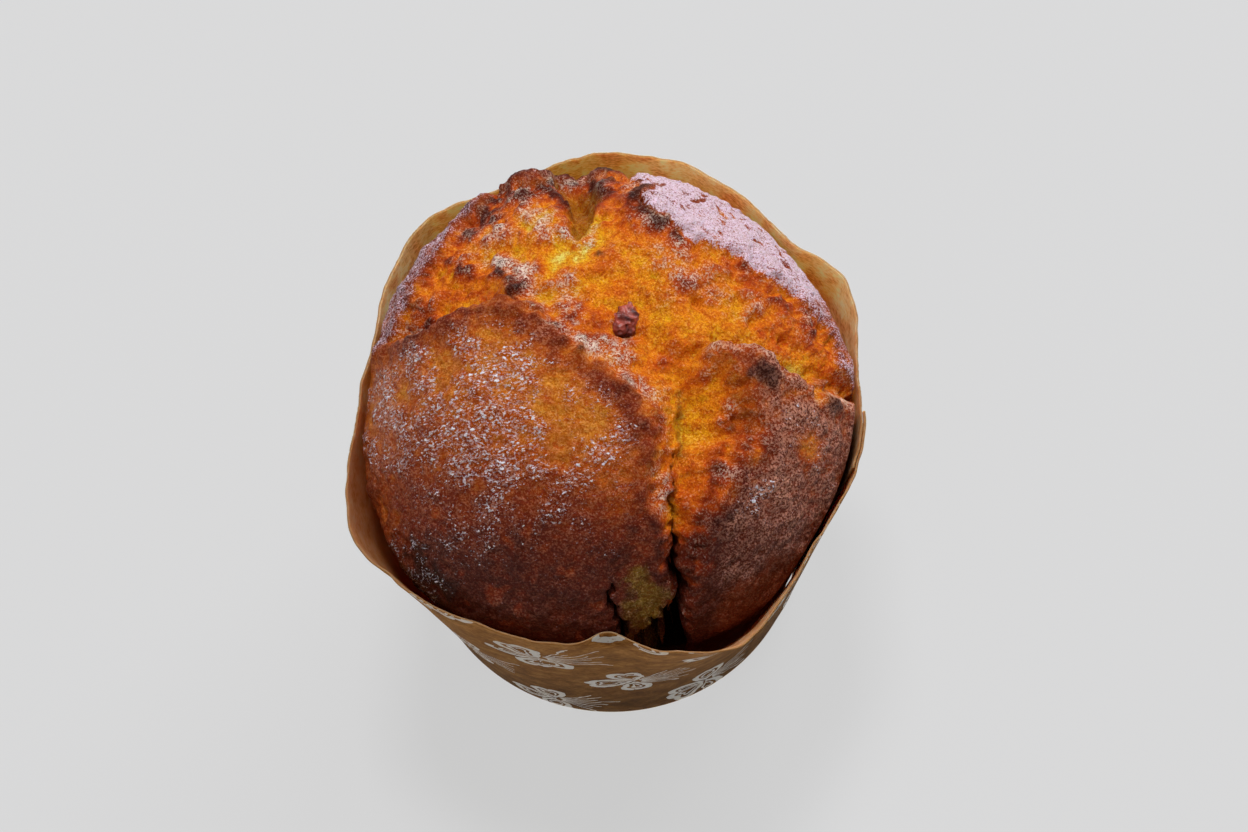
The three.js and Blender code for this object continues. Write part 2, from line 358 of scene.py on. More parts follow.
# The band is a strip in (angle, share). Its outer face, rim edge, inner face and foot edge
# are one closed loop at each angle, and the two ends are closed by a strip each.
def makeCaseWall(shape):
    columns, rows, seam = shape["columns"], shape["rows"], shape["seamAngle"]
    angle = seam + (360 + shape["seamLap"]) * np.linspace(0, 1, columns + 1)
    share = np.linspace(0, 1, rows + 1) ** 0.85
    share[-2] = 0.994  # a narrow last row keeps the cut edge's colour to the edge
    angles, shares = (a.ravel() for a in np.meshgrid(angle, share, indexing="ij"))
    turn = np.radians(angles)
    radius, height = wallSurface(angles, shares, shape)
    climb = seam + 360 - shape["lapRamp"] - 1
    climbed = smoothStep(climb, climb + shape["lapRamp"], angles)
    radius = radius + (shape["thickness"] + shape["glueLine"]) * climbed
    radius = radius + wallRipple(angles % 360, shares, shape)
    radius = radius - foldInwards(angles, shares, shape)
    rim = gradientNoise(np.stack([angles * 0.5, 0 * angles, 0 * angles], 1), 1.7, 14)
    height = height + shape["raggedRim"] * rim * shares**8
    outer = fromPolar(radius, turn, height).reshape(columns + 1, rows + 1, 3)
    inner = fromPolar(radius - shape["thickness"], turn, height).reshape(outer.shape)[:, ::-1]
    rimTop = 0.5 * (outer[:, -1] + inner[:, 0]) + (0, 0, 0.08)
    loop = np.concatenate([outer, rimTop[:, None], inner], axis=1)
    index = np.arange(loop.shape[0] * loop.shape[1]).reshape(loop.shape[:2])
    faces = list(gridQuads(closedRows(index)))
    # each end's strip starts at the foot and ends in one triangle at the rim
    for column, way in ((index[0], 1), (index[-1], -1)):
        front, back = column[: rows + 1], column[rows + 2 :][::-1]
        faces += list(gridQuads(np.stack([front, back], axis=1))[:, ::way])
        faces.append((front[-1], column[rows + 1], back[-1])[::way])
    isInner = np.concatenate([0 * share, [0.5], 0 * share + 1])
    isEdge = np.concatenate([0 * share, [1.0], 0 * share])
    attributes = {"inside": np.tile(isInner, columns + 1), "cutEdge": np.tile(isEdge, columns + 1)}
    across = np.repeat((angle - seam) * shape["degreeLength"], loop.shape[1])
    up = np.tile(np.concatenate([share, [1.0], share[::-1]]) * shape["slant"], columns + 1)
    flat = np.stack([across, up], axis=1) / sheetSize
    return makePiece("case_paper_wall", loop.reshape(-1, 3), faces, attributes, flat)


baseShape = dict(
    radius=24.4,
    edgeHeight=4.0,
    thickness=0.3,
    bend=0.8,
    pleats=48,
    pleatDepth=0.12,
    steps=240,
)


# The base disc: a profile (radius, height) turned round the axis, with a sine of pleats in its
# turned-up edge and a fan at each pole.
def makeCaseBase(shape):
    outer, high, thick, bend = (shape[k] for k in ("radius", "edgeHeight", "thickness", "bend"))
    profile = np.array(
        [
            (outer * 0.35, 0), (outer * 0.7, 0), (outer - bend, 0), (outer - 0.3 * bend, 0.3 * bend),
            (outer, bend), (outer, 0.5 * high), (outer, high), (outer - thick, high),
            (outer - thick, 0.5 * high), (outer - thick, bend + thick),
            (outer - thick - 0.5 * bend, thick), (outer * 0.7, thick), (outer * 0.35, thick),
        ]
    )
    turn = np.linspace(0, 2 * np.pi, shape["steps"], endpoint=False)
    turnedUp = smoothStep(1, high, profile[:, 1:])
    pleats = shape["pleatDepth"] * turnedUp * (np.sin(shape["pleats"] * turn) - 1)
    rings = fromPolar(profile[:, :1] + pleats, turn, profile[:, 1:])
    points = np.vstack([rings.reshape(-1, 3), (0, 0, 0), (0, 0, thick)])
    count = len(points) - 2
    index = np.arange(count).reshape(rings.shape[:2])
    quads = gridQuads(closedRows(index).T)
    under, over = poleFan(count, index[0, ::-1]), poleFan(count + 1, index[-1])
    attributes = {"inside": np.ones(len(points)), "cutEdge": np.zeros(len(points))}
    flat = points[:, :2] / sheetSize + 0.5
    return makePiece("case_paper_base", points, [*quads, *under, *over], attributes, flat)


print("making the paper case")
caseWall = makeCaseWall(caseShape)
caseBase = makeCaseBase(baseShape)


muffinShape = dict(
    domeRadius=29.5,
    topHeight=63.2,
    edgeHeight=45.0,
    shoulder=0.72,  # power of the crown: smaller makes a squarer shoulder
    sideLength=9.0,  # of the side that the fine grid covers, below the edge
    sideTaper=0.12,
    rings=148,  # from the middle to the end of the fine grid
    bottomHeight=0.6,
    footRadius=24,
    # rows of the coarse side: share of the height, how far the foot is rounded in
    sideRows=[(0.5, 0), (0.2, 0), (0.05, 0), (0.03, 0.2), (0.0, 1.4)],
    paperGap=0.35,
    caseHeight=47.5,
    wallPlay=0.4,  # room for the wall's ripples at the rim
    basePlay=0.15,  # and for the base's pleats
    # angle, edge radius, lift of the shoulder
    edge=[
        (-155, 30.4, 0), (-135, 31.4, -0.5), (-115, 30.8, -0.8), (-95, 29.4, -0.8), (-80, 29, -1.2),
        (-66, 29.8, -1.4), (-48, 30, -0.5), (-25, 29, 1.2), (5, 28.9, 2.3), (35, 28, 2.2),
        (65, 28.8, 2), (95, 28.8, 3.2), (115, 29.2, 4.6), (135, 28.8, 4), (155, 28.8, 3),
        (175, 28.4, 1.6),
    ],
)

# The crust plates: the outline in x and y, how far the plate stands over the crumb and its lip
# over the plate, how dark it and its border are baked, over how many millimetres it turns to
# crumb, how purple it is scorched and how much sugar frost, painted with a sheen, lies on it.
crustPlates = dict(
    frontLeft=dict(
        outline=[
            (-36, 5), (-27, 5), (-21, 4.3), (-16.5, 6), (-12.5, 6.2), (-8.5, 3.8), (-5, 0.4),
            (-1, -1.8), (2.2, -4.4), (5, -8.3), (6, -11.5), (4.6, -16), (5.6, -20), (6.6, -23),
            (7.2, -27), (7, -36), (-24, -36), (-38, -18),
        ],
        lift=0.5, lip=0.5, toast=0.36, border=0.26, soft=0.7, purple=0.0, frostAndSheen=0.0,
    ),
    rightFront=dict(
        outline=[
            (12, 1.2), (14.5, 0.8), (17.5, 0.2), (20.5, -2), (23.5, -2.8), (26, -2.2), (28.5, -1.4),
            (36, -1), (34, -20), (18, -36), (8.8, -36), (8.9, -27.5), (9.6, -23), (11.8, -18),
            (14, -14), (16.6, -9), (15.6, -5), (13, -2.4),
        ],
        lift=0.4, lip=0.3, toast=0.5, border=0.1, soft=2.3, purple=0.62, frostAndSheen=0.0,
    ),
    backRight=dict(
        outline=[
            (2.8, 26), (3.2, 22.4), (5.2, 19.6), (7.6, 16.8), (10.6, 14.5), (15.7, 13.1), (18.5, 10.9),
            (21.8, 9.6), (24.6, 7.2), (27, 3.6), (28.2, 0.5), (36, -1), (36, 16), (20, 36), (4, 36),
        ],
        lift=0.35, lip=0.25, toast=0.5, border=0.0, soft=0.3, purple=0.1, frostAndSheen=1.0,
    ),
    backLeft=dict(
        outline=[
            (-36, 4), (-27.4, 3.4), (-25.2, 5), (-23.4, 9), (-21.4, 13.6), (-18.6, 18.2),
            (-15.6, 23.4), (-14, 27), (-14, 36), (-36, 30),
        ],
        lift=0.2, lip=0.5, toast=0.6, border=0.2, soft=0.7, purple=0.2, frostAndSheen=0.46,
    ),
    backMiddle=dict(
        outline=[
            (-13.4, 25.5), (-9.6, 25.2), (-7.2, 27.4), (-4, 28.6), (-1, 27.6), (1.8, 26.4), (2.4, 30),
            (-2, 36), (-14, 34),
        ],
        lift=0.2, lip=0.3, toast=0.75, border=0.2, soft=0.8, purple=0.1, frostAndSheen=0.15,
    ),
)

# The valleys that the crumb falls to between the plates: x, y, depth
valleys = [
    [
        (-4.4, 21, 1.6), (-3.2, 15.7, 2.2), (-2, 10.6, 2.6), (0, 6.8, 3), (3.4, 2.3, 3.4),
        (7.2, -0.4, 3.8), (9.2, -4.4, 4.2), (9.4, -10.2, 4.2), (8.8, -15, 3.2), (7.8, -20, 2.2),
        (8, -25, 1.8), (8, -30, 1.6),
    ],
    [(-1.2, 6.9, 2.8), (-8, 7.4, 2.4), (-15, 7.8, 2.6), (-21, 5.9, 2.4), (-28, 4.9, 1.4)],
    [(8.4, -0.8, 3.8), (13, 2.7, 3.8), (18.5, 1.4, 3.8), (24, 0.2, 3.6), (29, 0.6, 1.8)],
]

# Cracks that run deep, painted with shade inside: x, y, half width, depth
fissures = [
    [
        (8.2, -13, 0.15, 0.6), (7.2, -16.4, 0.2, 0.9), (7.4, -19.4, 0.25, 1), (7, -21.2, 0.3, 1.4),
        (7.9, -22.6, 0.35, 4), (7.3, -24, 0.4, 6), (8.4, -25.2, 0.45, 7), (7.9, -26.4, 0.7, 8),
        (8.3, -27.2, 0.8, 10), (7.2, -28, 1.3, 12), (5.8, -28.5, 1.3, 12), (4.4, -28.9, 0.9, 12),
        (3.2, -29.2, 0.6, 10),
    ],
    [(0.3, -25.8, 0.15, 0.8), (0.2, -26.6, 0.3, 3), (0.9, -27.6, 0.22, 5), (0.8, -29.4, 0.35, 6)],
]

# Where the surface differs, each mark a spot or a line of (x, y, reach, strength); the pit is
# an outline. Lifts are in millimetres, the others are shares: char is burnt, baked is browner,
# golden is moister and yellower, olive is greenish crumb, light is paler crust, dust is dry
# crumbs and sugar, soaked is dark with fat, veil is a film of the finest sugar, glaze is
# melted sugar with painted glints, and bare is free of frost and its painted sheen.
marks = dict(
    lifts=[
        [(-14.5, 25, 2, 0.7), (-11.4, 26.6, 2.4, 1.9), (-8.6, 27.2, 1.6, 1.4)],
        [(-3.8, 30, 1.8, -1.4), (-3.6, 24.5, 1.5, -1.6)], [(-1, 28.4, 1.8, 1), (1, 25, 1.6, 0.7)],
        [(-24, 4, 1.8, -0.6), (-17.4, 9.4, 2.6, -1.5)],
        [(-15, 14.5, 2.4, -1), (-6.5, 13.6, 2.2, -0.9)], [(-12.6, 8.6, 1.6, 1.3)],
        [(-16.5, 20, 2.2, -0.9)], [(17.8, -2.6, 1.7, 1.2)], [(25.6, -2.4, 1.5, 0.8)],
        [(2.8, 21, 2.2, 1)], [(0.4, 6.6, 1.6, 0.7)], [(1.6, 2.4, 1.1, -1.2)], [(-3, 11.8, 1.5, 0.7)],
        [(-2.6, 8, 1.5, 0.5)], [(-3.5, -0.6, 1.1, 0.6)],
    ],
    char=[
        [(17.6, -3.4, 1.8, 1)], [(25.2, -3.6, 1.9, 0.6)], [(3.8, 22.4, 1.8, 0.8)],
        [(-12.4, 8.6, 2.2, 0.5), (-12.8, 10.8, 1.6, 0.45)],
        [(-23.4, -18.6, 1.4, 0.6), (-21.4, -21.8, 1.8, 0.8), (-19, -24.2, 1.5, 0.7)],
        [(1.6, 2.3, 0.9, 0.6)], [(-3.5, -0.9, 0.9, 0.6)], [(-1.4, 13.6, 0.7, 0.5)],
        [(-0.3, 28.6, 1.4, 0.8)], [(-6, 29.6, 1.6, 0.5)], [(12.9, -18.6, 1.6, 0.45)],
        [(13, -24, 2, 0.3)],
    ],
    baked=[
        [(-22.6, 12, 0.8, 0.4), (-18, 17, 1, 0.5), (-14, 24, 1.4, 0.7)],
        [(-12, 26.8, 2.2, 0.55), (-8, 27.6, 1.6, 0.4)], [(-7, 24.6, 1.6, 0.5), (-6, 20.4, 1.2, 0.4)],
        [(0.6, 24, 1.8, 0.5), (1.2, 18.6, 1.8, 0.3)], [(10.8, 12.6, 1.8, 0.16), (16, 11, 1.6, 0.16)],
        [(17.6, 9.6, 1.8, 0.2), (21.4, 7.6, 1.8, 0.22), (24.6, 4.6, 1.4, 0.22)],
        [(-13, 18, 4.5, 0.34), (-20, 12.4, 2.6, 0.35)], [(-9, 23, 2.6, 0.3)],
        [(-19, 9.6, 2.6, 0.24), (-14.6, 12, 3, 0.26), (-10, 9.4, 3, 0.2)], [(-7.6, 11, 1.3, 0.35)],
        [(-1.4, 12.6, 1.2, 0.5), (-1.9, 10.7, 1.3, 0.5)], [(-1.2, 2.3, 1.4, 0.35)],
        [(-22, 4.2, 1.4, 0.7), (-16, 5.2, 1.6, 0.6), (-12.6, 4.6, 1.8, 0.6)],
        [(-9.4, 2.6, 1.6, 0.4), (-3.4, -3.4, 1.7, 0.7), (0.4, -6.4, 1.9, 0.8), (4.2, -10.6, 2.2, 0.9)],
        [(-13.5, -17.2, 1, 0.5), (-22.7, -14, 1.3, 0.5), (-20.8, -7.3, 1.2, 0.5)],
        [(-10.8, 21.4, 2.6, 0.2)], [(-2.4, 11.4, 1.1, 0.35)], [(-2, 8, 1.2, 0.3)],
        [(13.6, -1.8, 1.6, 0.3), (15, -4.8, 2, 0.4)], [(13.6, -12.4, 2.4, 0.3), (11.4, -20, 1.6, 0.3)],
        [(11.6, -7.4, 0.5, 0.5)], [(-24.6, -19.6, 3.6, 0.5), (-17, -25, 4, 0.4)],
    ],
    golden=[
        [(-1.6, 4.6, 1.8, 0.6), (-3.2, 3.2, 1.4, 0.6)], [(-2.6, 14.8, 1.6, 0.5), (-1.8, 11, 1.8, 0.5)],
        [(6.2, 8.2, 2.6, 0.4), (9.6, 2.6, 2.4, 0.5)],
        [(13, 3, 1.8, 0.6), (19.4, 2, 1.6, 0.7), (24, 0.2, 1.5, 2.4)],
        [(10, -5.8, 1.6, 0.55), (9.4, -10, 1.3, 0.5)],
        [(12.2, -6.4, 1.6, 0.3), (11.4, -11, 1.8, 0.5), (11.2, -16.4, 1.6, 0.3)],
        [(-19.4, 8, 2, 0.5), (-16, 9.4, 1.8, 0.6)],
        [(-13.6, 15.2, 1.6, 0.4), (-9.1, 13.7, 2, 0.6), (-5.6, 12.9, 1.6, 0.6)],
        [(-4.2, 16.6, 0.8, 0.3), (-3.2, 19, 0.6, 0.3)], [(24.6, 3.4, 1.4, 0.3)],
        [(6.4, -12.4, 0.9, 0.4), (6, -16, 1.2, 0.55)], [(6.6, -19, 1.2, 0.6), (6.8, -21, 0.8, 0.5)],
    ],
    olive=[
        [(3.2, -25.8, 2.2, 1), (5.4, -26.2, 1.8, 0.9), (2.4, -27.6, 1.6, 0.7)],
        [(9, -8.4, 0.9, 0.6), (8.2, -4, 1, 0.5), (9.3, -13, 0.9, 0.6)], [(6.4, 10.2, 2.2, 0.2)],
        [(16, 3, 1.4, 0.4)], [(3.8, 0.4, 1.3, 0.4)],
    ],
    light=[
        [(-5.7, -9.2, 6, 0.26)], [(-0.5, -14, 5, 0.26)], [(-13, -3, 7, 0.1)],
        [(23.2, -9.6, 1.8, 0.45)], [(2.4, -18.5, 2.4, 0.3)],
        [(13.4, -4.4, 2.2, 0.3), (14.8, -8.4, 1.8, 0.2)],
    ],
    dust=[
        [(-6, 9, 7, 0.22), (0, 1, 4, 0.2)], [(-12, 17, 5, 0.16)],
        [(6, -14, 1, 0.5), (6.4, -19, 1.2, 0.7)],
        [(-25, 5.4, 1, 0.6), (-20.8, 5.2, 1, 0.7), (-13.6, 6.4, 1.1, 0.8)],
        [(-14.9, 13.9, 1.3, 0.6), (-10.4, 11.6, 1.5, 0.7)],
        [(-9.2, 8, 2, 0.5), (-4.6, 8.4, 2.2, 0.5), (-5.6, 10.4, 1.6, 0.4)],
        [(-6.4, 1.8, 2.2, 0.3), (1.8, -1.6, 2.6, 0.4), (6.6, -7, 1.8, 0.4), (6.8, -12, 1.4, 0.4)],
        [(4.2, 12.6, 2.6, 0.25)], [(8, 12, 3, 0.15), (14, 7.6, 2.6, 0.3)], [(17, 6.6, 1.6, 0.5)],
        [(5.8, 5.8, 1.6, 0.6)], [(2.4, 3.4, 2, 0.5)],
        [(-5.8, 16.2, 1.1, 0.7), (-2.4, 18, 1.2, 0.8), (-3.4, 14.6, 1.2, 0.7)],
        [(-9.6, 20.4, 2, 0.6), (-8, 17.8, 1.6, 0.6)], [(-14.8, 17.6, 2.6, 0.3)],
        [(12, 0.8, 1, 0.7), (17.6, -0.2, 1.1, 0.8), (21.4, -3.2, 1.2, 0.8)],
        [(24, -3.8, 1.1, 0.6), (28, -2.2, 1.2, 0.7)], [(12.4, -14.4, 1.6, 0.45), (15, -15.6, 2, 0.4)],
        [(-11, 28, 2.6, 0.5), (-2, 29.4, 2, 0.4)],
    ],
    soaked=[[(29, -12, 1.6, 0.8), (26.4, -17, 2.2, 1), (21, -22, 2.6, 1), (14, -26.6, 2.4, 1)]],
    veil=[
        [(21, -5, 5, 0.7), (19, -14, 5, 0.7)], [(27, -6, 2.6, 0.5), (24, -15, 3, 0.3)],
        [(14, -21, 3.5, 0.5)], [(-26, 0, 2, 0.4), (-25, -8, 2.4, 0.4)],
    ],
    glazeAndGlints=[
        [(-17, -1.5, 8, 0.9)], [(-10, -8, 7, 0.9)], [(0, -12, 5.5, 0.5)], [(-19, -11, 6, 0.6)],
        [(-12, -14, 6, 0.5), (-15, -20, 5, 0.3)], [(-4, -21, 5, 0.2)],
        [(-24.2, -18, 1.1, 0.9), (-22.2, -21, 1.3, 0.8), (-20.2, -23.6, 1, 0.6)],
        [(-10.4, -17.6, 1.8, 0.8)], [(-26, 0, 3, 0.8), (-26, -6, 3, 0.7)], [(22, -9, 6, 0.3)],
        [(15.6, -15.6, 2.2, 1.3)],
    ],
    pit=[(-7.6, 28), (-6, 24), (-5.2, 20.2), (-4.2, 16), (-3.3, 18), (-2.2, 20), (-1, 23.2), (-2, 26.6)],
    bare=[
        [(4.4, 22.6, 2.4, 0.8)], [(10.2, 21.4, 0.8, 1)], [(9.1, 19.5, 0.6, 1)],
        [(20, 17.4, 0.7, 1), (20.8, 15.4, 0.6, 0.9)], [(17.4, 16, 0.6, 1)],
        [(11, 27.6, 0.8, 1), (14.4, 26, 0.9, 1.2)], [(10.9, 23.6, 0.5, 0.9)], [(23, 12.6, 0.5, 0.9)],
    ],
)


# The sum of marks at each (x, y): strength exp(-(distance / reach)^2), where reach and strength
# run evenly from one point of a line to the next.
def markSum(xy, lines):
    total = np.zeros(len(xy))
    for line in lines:
        # a lone spot becomes a very short line
        spot = line if len(line) > 1 else [line[0], np.add(line[0], (0.01, 0, 0, 0))]
        away, index, share = toSegments(xy, spot)
        reach = alongLine(spot, index, share, 2)
        total += alongLine(spot, index, share, 3) * hump(away, reach)
    return total


# The dome's profile by arc length, from the top down: radius share s, height share
# (1 - s^3)^shoulder, then straight down the side (negative heights, in millimetres).
def domeProfile(shape):
    s = np.sin(np.linspace(0, np.pi / 2, 2000)) ** (2 / 3)  # closest together at the edge
    height = (1 - s**3) ** shape["shoulder"]
    rise = shape["topHeight"] - shape["edgeHeight"]
    down = np.linspace(0, shape["sideLength"], 200)[1:]
    s = np.concatenate([s, np.ones_like(down)])
    height = np.concatenate([height, -down / rise])
    steps = np.hypot(np.diff(s) * shape["domeRadius"], np.diff(height) * rise)
    arc = np.concatenate([[0], np.cumsum(steps)])
    wanted = np.linspace(0, arc[-1], shape["rings"] + 1)
    return np.interp(wanted, arc, s), np.interp(wanted, arc, height)


# How far the cake may reach at an angle and height before it meets its case: the wall's radius
# there less its thickness and the gap, and at the foot no more than the base leaves.
def roomInCase(angles, height, shape):
    share = np.clip(height / shape["caseHeight"], 0, 1)
    radius = wallSurface(angles, share, caseShape)[0]
    free = radius - caseShape["thickness"] - shape["paperGap"] - shape["wallPlay"] * share
    inBase = baseShape["radius"] - baseShape["thickness"] - shape["paperGap"] - shape["basePlay"]
    foot = height < baseShape["edgeHeight"] + 0.4
    return np.where(foot, np.minimum(free, inBase), free)


# The dome on a square grid drawn out to a disc, ring by ring: a point at (i, j) lies on ring
# max(|i|, |j|), at the angle 45 degrees times its place along that side.
def domeGrid(shape):
    n = shape["rings"]
    i, j = np.meshgrid(np.arange(-n, n + 1), np.arange(-n, n + 1), indexing="ij")
    ring = np.maximum(abs(i), abs(j))
    alongX = abs(i) >= abs(j)
    safeI = np.where(i == 0, 1, i)
    safeJ = np.where(j == 0, 1, j)
    turn = np.where(
        alongX,
        np.pi / 4 * (j / safeI) + np.where(i < 0, np.pi, 0),
        np.pi / 2 - np.pi / 4 * (i / safeJ) + np.where(j < 0, np.pi, 0),
    )
    s, h = (values[ring] for values in domeProfile(shape))
    angles = np.degrees(turn)
    flatAngles = angles.ravel()
    edgeRadius = waveValues(flatAngles, shape["edge"], 1).reshape(angles.shape)
    edgeHeight = shape["edgeHeight"] + waveValues(flatAngles, shape["edge"], 2).reshape(angles.shape)
    down = np.minimum(h, 0) * (shape["topHeight"] - shape["edgeHeight"])
    height = edgeHeight + (shape["topHeight"] - edgeHeight) * np.maximum(h, 0) + down
    radius = edgeRadius * s + shape["sideTaper"] * down
    room = roomInCase(flatAngles, height.ravel(), shape).reshape(angles.shape)
    return fromPolar(np.minimum(radius, room), turn, height), ring


# Unit normals of a grid of points, from the cross product of its two directions.
def gridNormals(points):
    normals = np.cross(np.gradient(points, axis=0), np.gradient(points, axis=1))
    return normals / np.maximum(np.linalg.norm(normals, axis=-1, keepdims=True), 1e-9)


bakeRelief = dict(
    # heights of the layers of noise in the crumb: everywhere, and what tearing adds
    crumb=dict(
        middle=(0.5, 0.0),
        lumps=(0.25, 0.55),
        grains=(0.1, 0.3),
        small=(0.06, 0.14),
        fine=(0.04, 0.06),
    ),
    poreDepth=0.8,
    # heights of the layers of noise in the crust
    crust=dict(broad=0.3, middle=0.28, grains=0.22, wrinkles=0.16, small=0.12, fine=0.09),
    cliff=0.6,  # from a plate's border down to the crumb
    pitDepth=2.6,
    frostDepth=0.2,
    # size, height and seed of the noises that make the outlines ragged
    ragged=[(3.8, 0.85, 0), (1.5, 0.5, 1), (0.7, 0.3, 2)],
    crackRagged=1.25,  # how much of that the cracks get
)

bakeColors = dict(
    # from under-baked to scorched
    crumb=[
        (0.0, "#E8CC60"), (0.1, "#E8AC1E"), (0.25, "#EA9E0C"), (0.42, "#EA880A"), (0.6, "#DA6806"),
        (0.78, "#AE4206"), (0.9, "#7C2C08"), (1.0, "#541A0A"),
    ],
    crust=[(0.0, "#D8861C"), (0.28, "#C2600E"), (0.52, "#9C4208"), (0.78, "#7C2C0A"), (1.0, "#501A0C")],
    side="#9C4208",
    purple="#74403A",
    soaked="#84360A",
    char="#2A1414",
    olive="#846610",
    pit="#A8690A",
    # the deep colour is painted shade inside the cracks
    deep="#0C0302",
)


# Every field of the surface at the dome's points: how far it stands out along its normal and
# straight up, and what it looks like there. The plates are signed distances to their outlines,
# ragged with noise. Out is the plate's lift and relief where there is crust, and the crumb's
# relief less a cliff and the fall to the nearest valley where there is none, plus the plates'
# lips, less the cracks. Colour is a ramp by heat on the crumb and a ramp by toast on the crust,
# each a sum of noises and marks, with the special colours laid over.
def dressDome(points, relief, colors):
    xy = points[:, :2]
    warp = [
        sum(high * gradientNoise(points, size, seed + k) for size, high, k in relief["ragged"])
        for seed in (21, 31)
    ]
    warp = np.stack(warp, axis=1)
    ragged = xy + warp
    broad = fractalNoise(points, 9.0, 41, 2)
    middle = fractalNoise(points, 3.6, 43, 3)
    small = fractalNoise(points, 1.6, 45, 2)
    fine = gradientNoise(points, 0.8, 47)
    loose = points + 0.7 * middle[:, None]
    lumps = 0.5 - cellNoise(loose, 2.6, 51)
    grains = 0.5 - cellNoise(loose, 1.1, 52)
    pores = smoothStep(0.34, 0.1, cellNoise(loose, 3.3, 53)) * smoothStep(-0.2, 0.3, broad)

    inside = -99.0
    lift = lip = toast = frostAndSheen = purple = border = crustTone = 0
    wander = 0.6 + 0.8 * gradientNoise(points, 5.0, 56) + 0.5 * small
    for plate in crustPlates.values():
        away = insideDistance(ragged, plate["outline"])
        on = smoothStep(-0.6, 1.0, away)
        soft = plate["soft"]
        lift = lift + on * plate["lift"]
        lip = lip + plate["lip"] * hump(away - 0.9, 1.2)
        toast = np.maximum(toast, smoothStep(-soft, soft, away) * plate["toast"])
        purple = purple + smoothStep(0, 2 * soft, away) * plate["purple"]
        frostAndSheen = frostAndSheen + smoothStep(-0.2, soft, away) * plate["frostAndSheen"]
        edge = smoothStep(-0.3, 0.7, away) * smoothStep(4.0, 1.0, away - 1.2 * wander)
        border = border + plate["border"] * edge
        tone = smoothStep(-soft, soft, away + soft * (0.8 * middle + 0.5 * small))
        crustTone = np.maximum(crustTone, tone)
        inside = np.maximum(inside, away)
    crust = smoothStep(-0.6, 0.7, inside + 0.5 * small)
    outside = np.maximum(-inside, 0)

    drop = np.zeros(len(points))
    golden = np.zeros(len(points))
    for line in valleys:
        away, index, share = toSegments(ragged, line)
        between = outside / (outside + away + 0.3)
        drop = np.maximum(drop, alongLine(line, index, share, 2) * between**1.15)
        golden = np.maximum(golden, between**1.5)
    pitDepth = insideDistance(ragged, marks["pit"])
    pit = smoothStep(-0.2, 0.5, pitDepth)
    drop = drop + relief["pitDepth"] * smoothStep(-0.5, 1.2, pitDepth)

    crack = np.zeros(len(points))
    torn = xy + relief["crackRagged"] * warp
    for line in fissures:
        away, index, share = toSegments(torn, line)
        wide = alongLine(line, index, share, 2)
        deep = alongLine(line, index, share, 3)
        crack = np.maximum(crack, deep * (1 - smoothStep(0.55, 1.25, away / wide)))

    smooth = np.clip(golden + markSum(ragged, marks["golden"]), 0, 1.3)
    rough = smoothStep(1.0, 0.3, smooth)  # torn crumb up the slopes, moist and even at their feet
    wrinkles = 1 - 2 * abs(gradientNoise(points * (1, 1.6, 1), 1.5, 48))
    layers = dict(
        broad=broad, middle=middle, lumps=lumps, grains=grains, wrinkles=wrinkles, small=small, fine=fine
    )
    crustRelief = sum(high * layers[key] for key, high in relief["crust"].items())
    crumbRelief = sum((low + more * rough) * layers[key] for key, (low, more) in relief["crumb"].items())
    crumbRelief = crumbRelief - relief["poreDepth"] * pores * rough - relief["cliff"]
    lipNoise = np.clip(0.8 + 1.4 * gradientNoise(points, 2.6, 55), 0, 2)
    out = crust * (lift + crustRelief) + (1 - crust) * (crumbRelief - drop)
    out = out + lip * lipNoise - crack
    rise = markSum(ragged, marks["lifts"])

    # the frost, sugar painted pale with the sheen of the light it reflects, has grooves that run across
    # the plate, bare spots and specks
    turned = points * (1.0, 1.0, 0.3)
    turned = turned @ np.array([[0.78, 0.63, 0], [-0.63, 0.78, 0], [0, 0, 1]])
    grooves = smoothStep(0.28, 0.62, gradientNoise(turned * (0.35, 1.5, 1), 1.0, 57))
    bare = smoothStep(0.4, 0.7, markSum(ragged, marks["bare"]) + 0.25 * small)
    scatter = smoothStep(0.5, 0.75, gradientNoise(points * (1, 1.5, 1), 1.6, 58))
    frostHold = (1 - bare) * (1 - 0.7 * grooves) * (1 - 0.8 * scatter)
    out = out - relief["frostDepth"] * frostAndSheen * (1 - frostHold)
    frostHold = frostHold * (1 - 0.6 * smoothStep(12, 24, xy[:, 0] - 0.5 * xy[:, 1]))
    frostAndSheen = np.clip(frostAndSheen * frostHold * (1 + 0.4 * middle), 0, 1)

    baked = markSum(ragged, marks["baked"])
    even = 1 - 0.5 * smoothStep(-6, 3, xy[:, 0])  # the right side rose more evenly
    heat = (
        0.56
        + 0.42 * baked
        + 0.22 * broad
        + 0.34 * middle * even
        + 0.24 * small * even
        + 0.22 * lumps * even
        + 0.24 * grains * rough
        # darker towards the front: browner there, and painted shade where the front faces away from the
        # light
        + 0.34 * smoothStep(-14, -26, xy[:, 1])
        + 0.26 * hump(outside - 0.6, 1.2) * wander
        + 0.22 * hump(pitDepth + 0.5, 0.9) * smoothStep(17, 22, xy[:, 1])
        - 0.16 * golden
        - 0.3 * markSum(ragged, marks["golden"])
    )
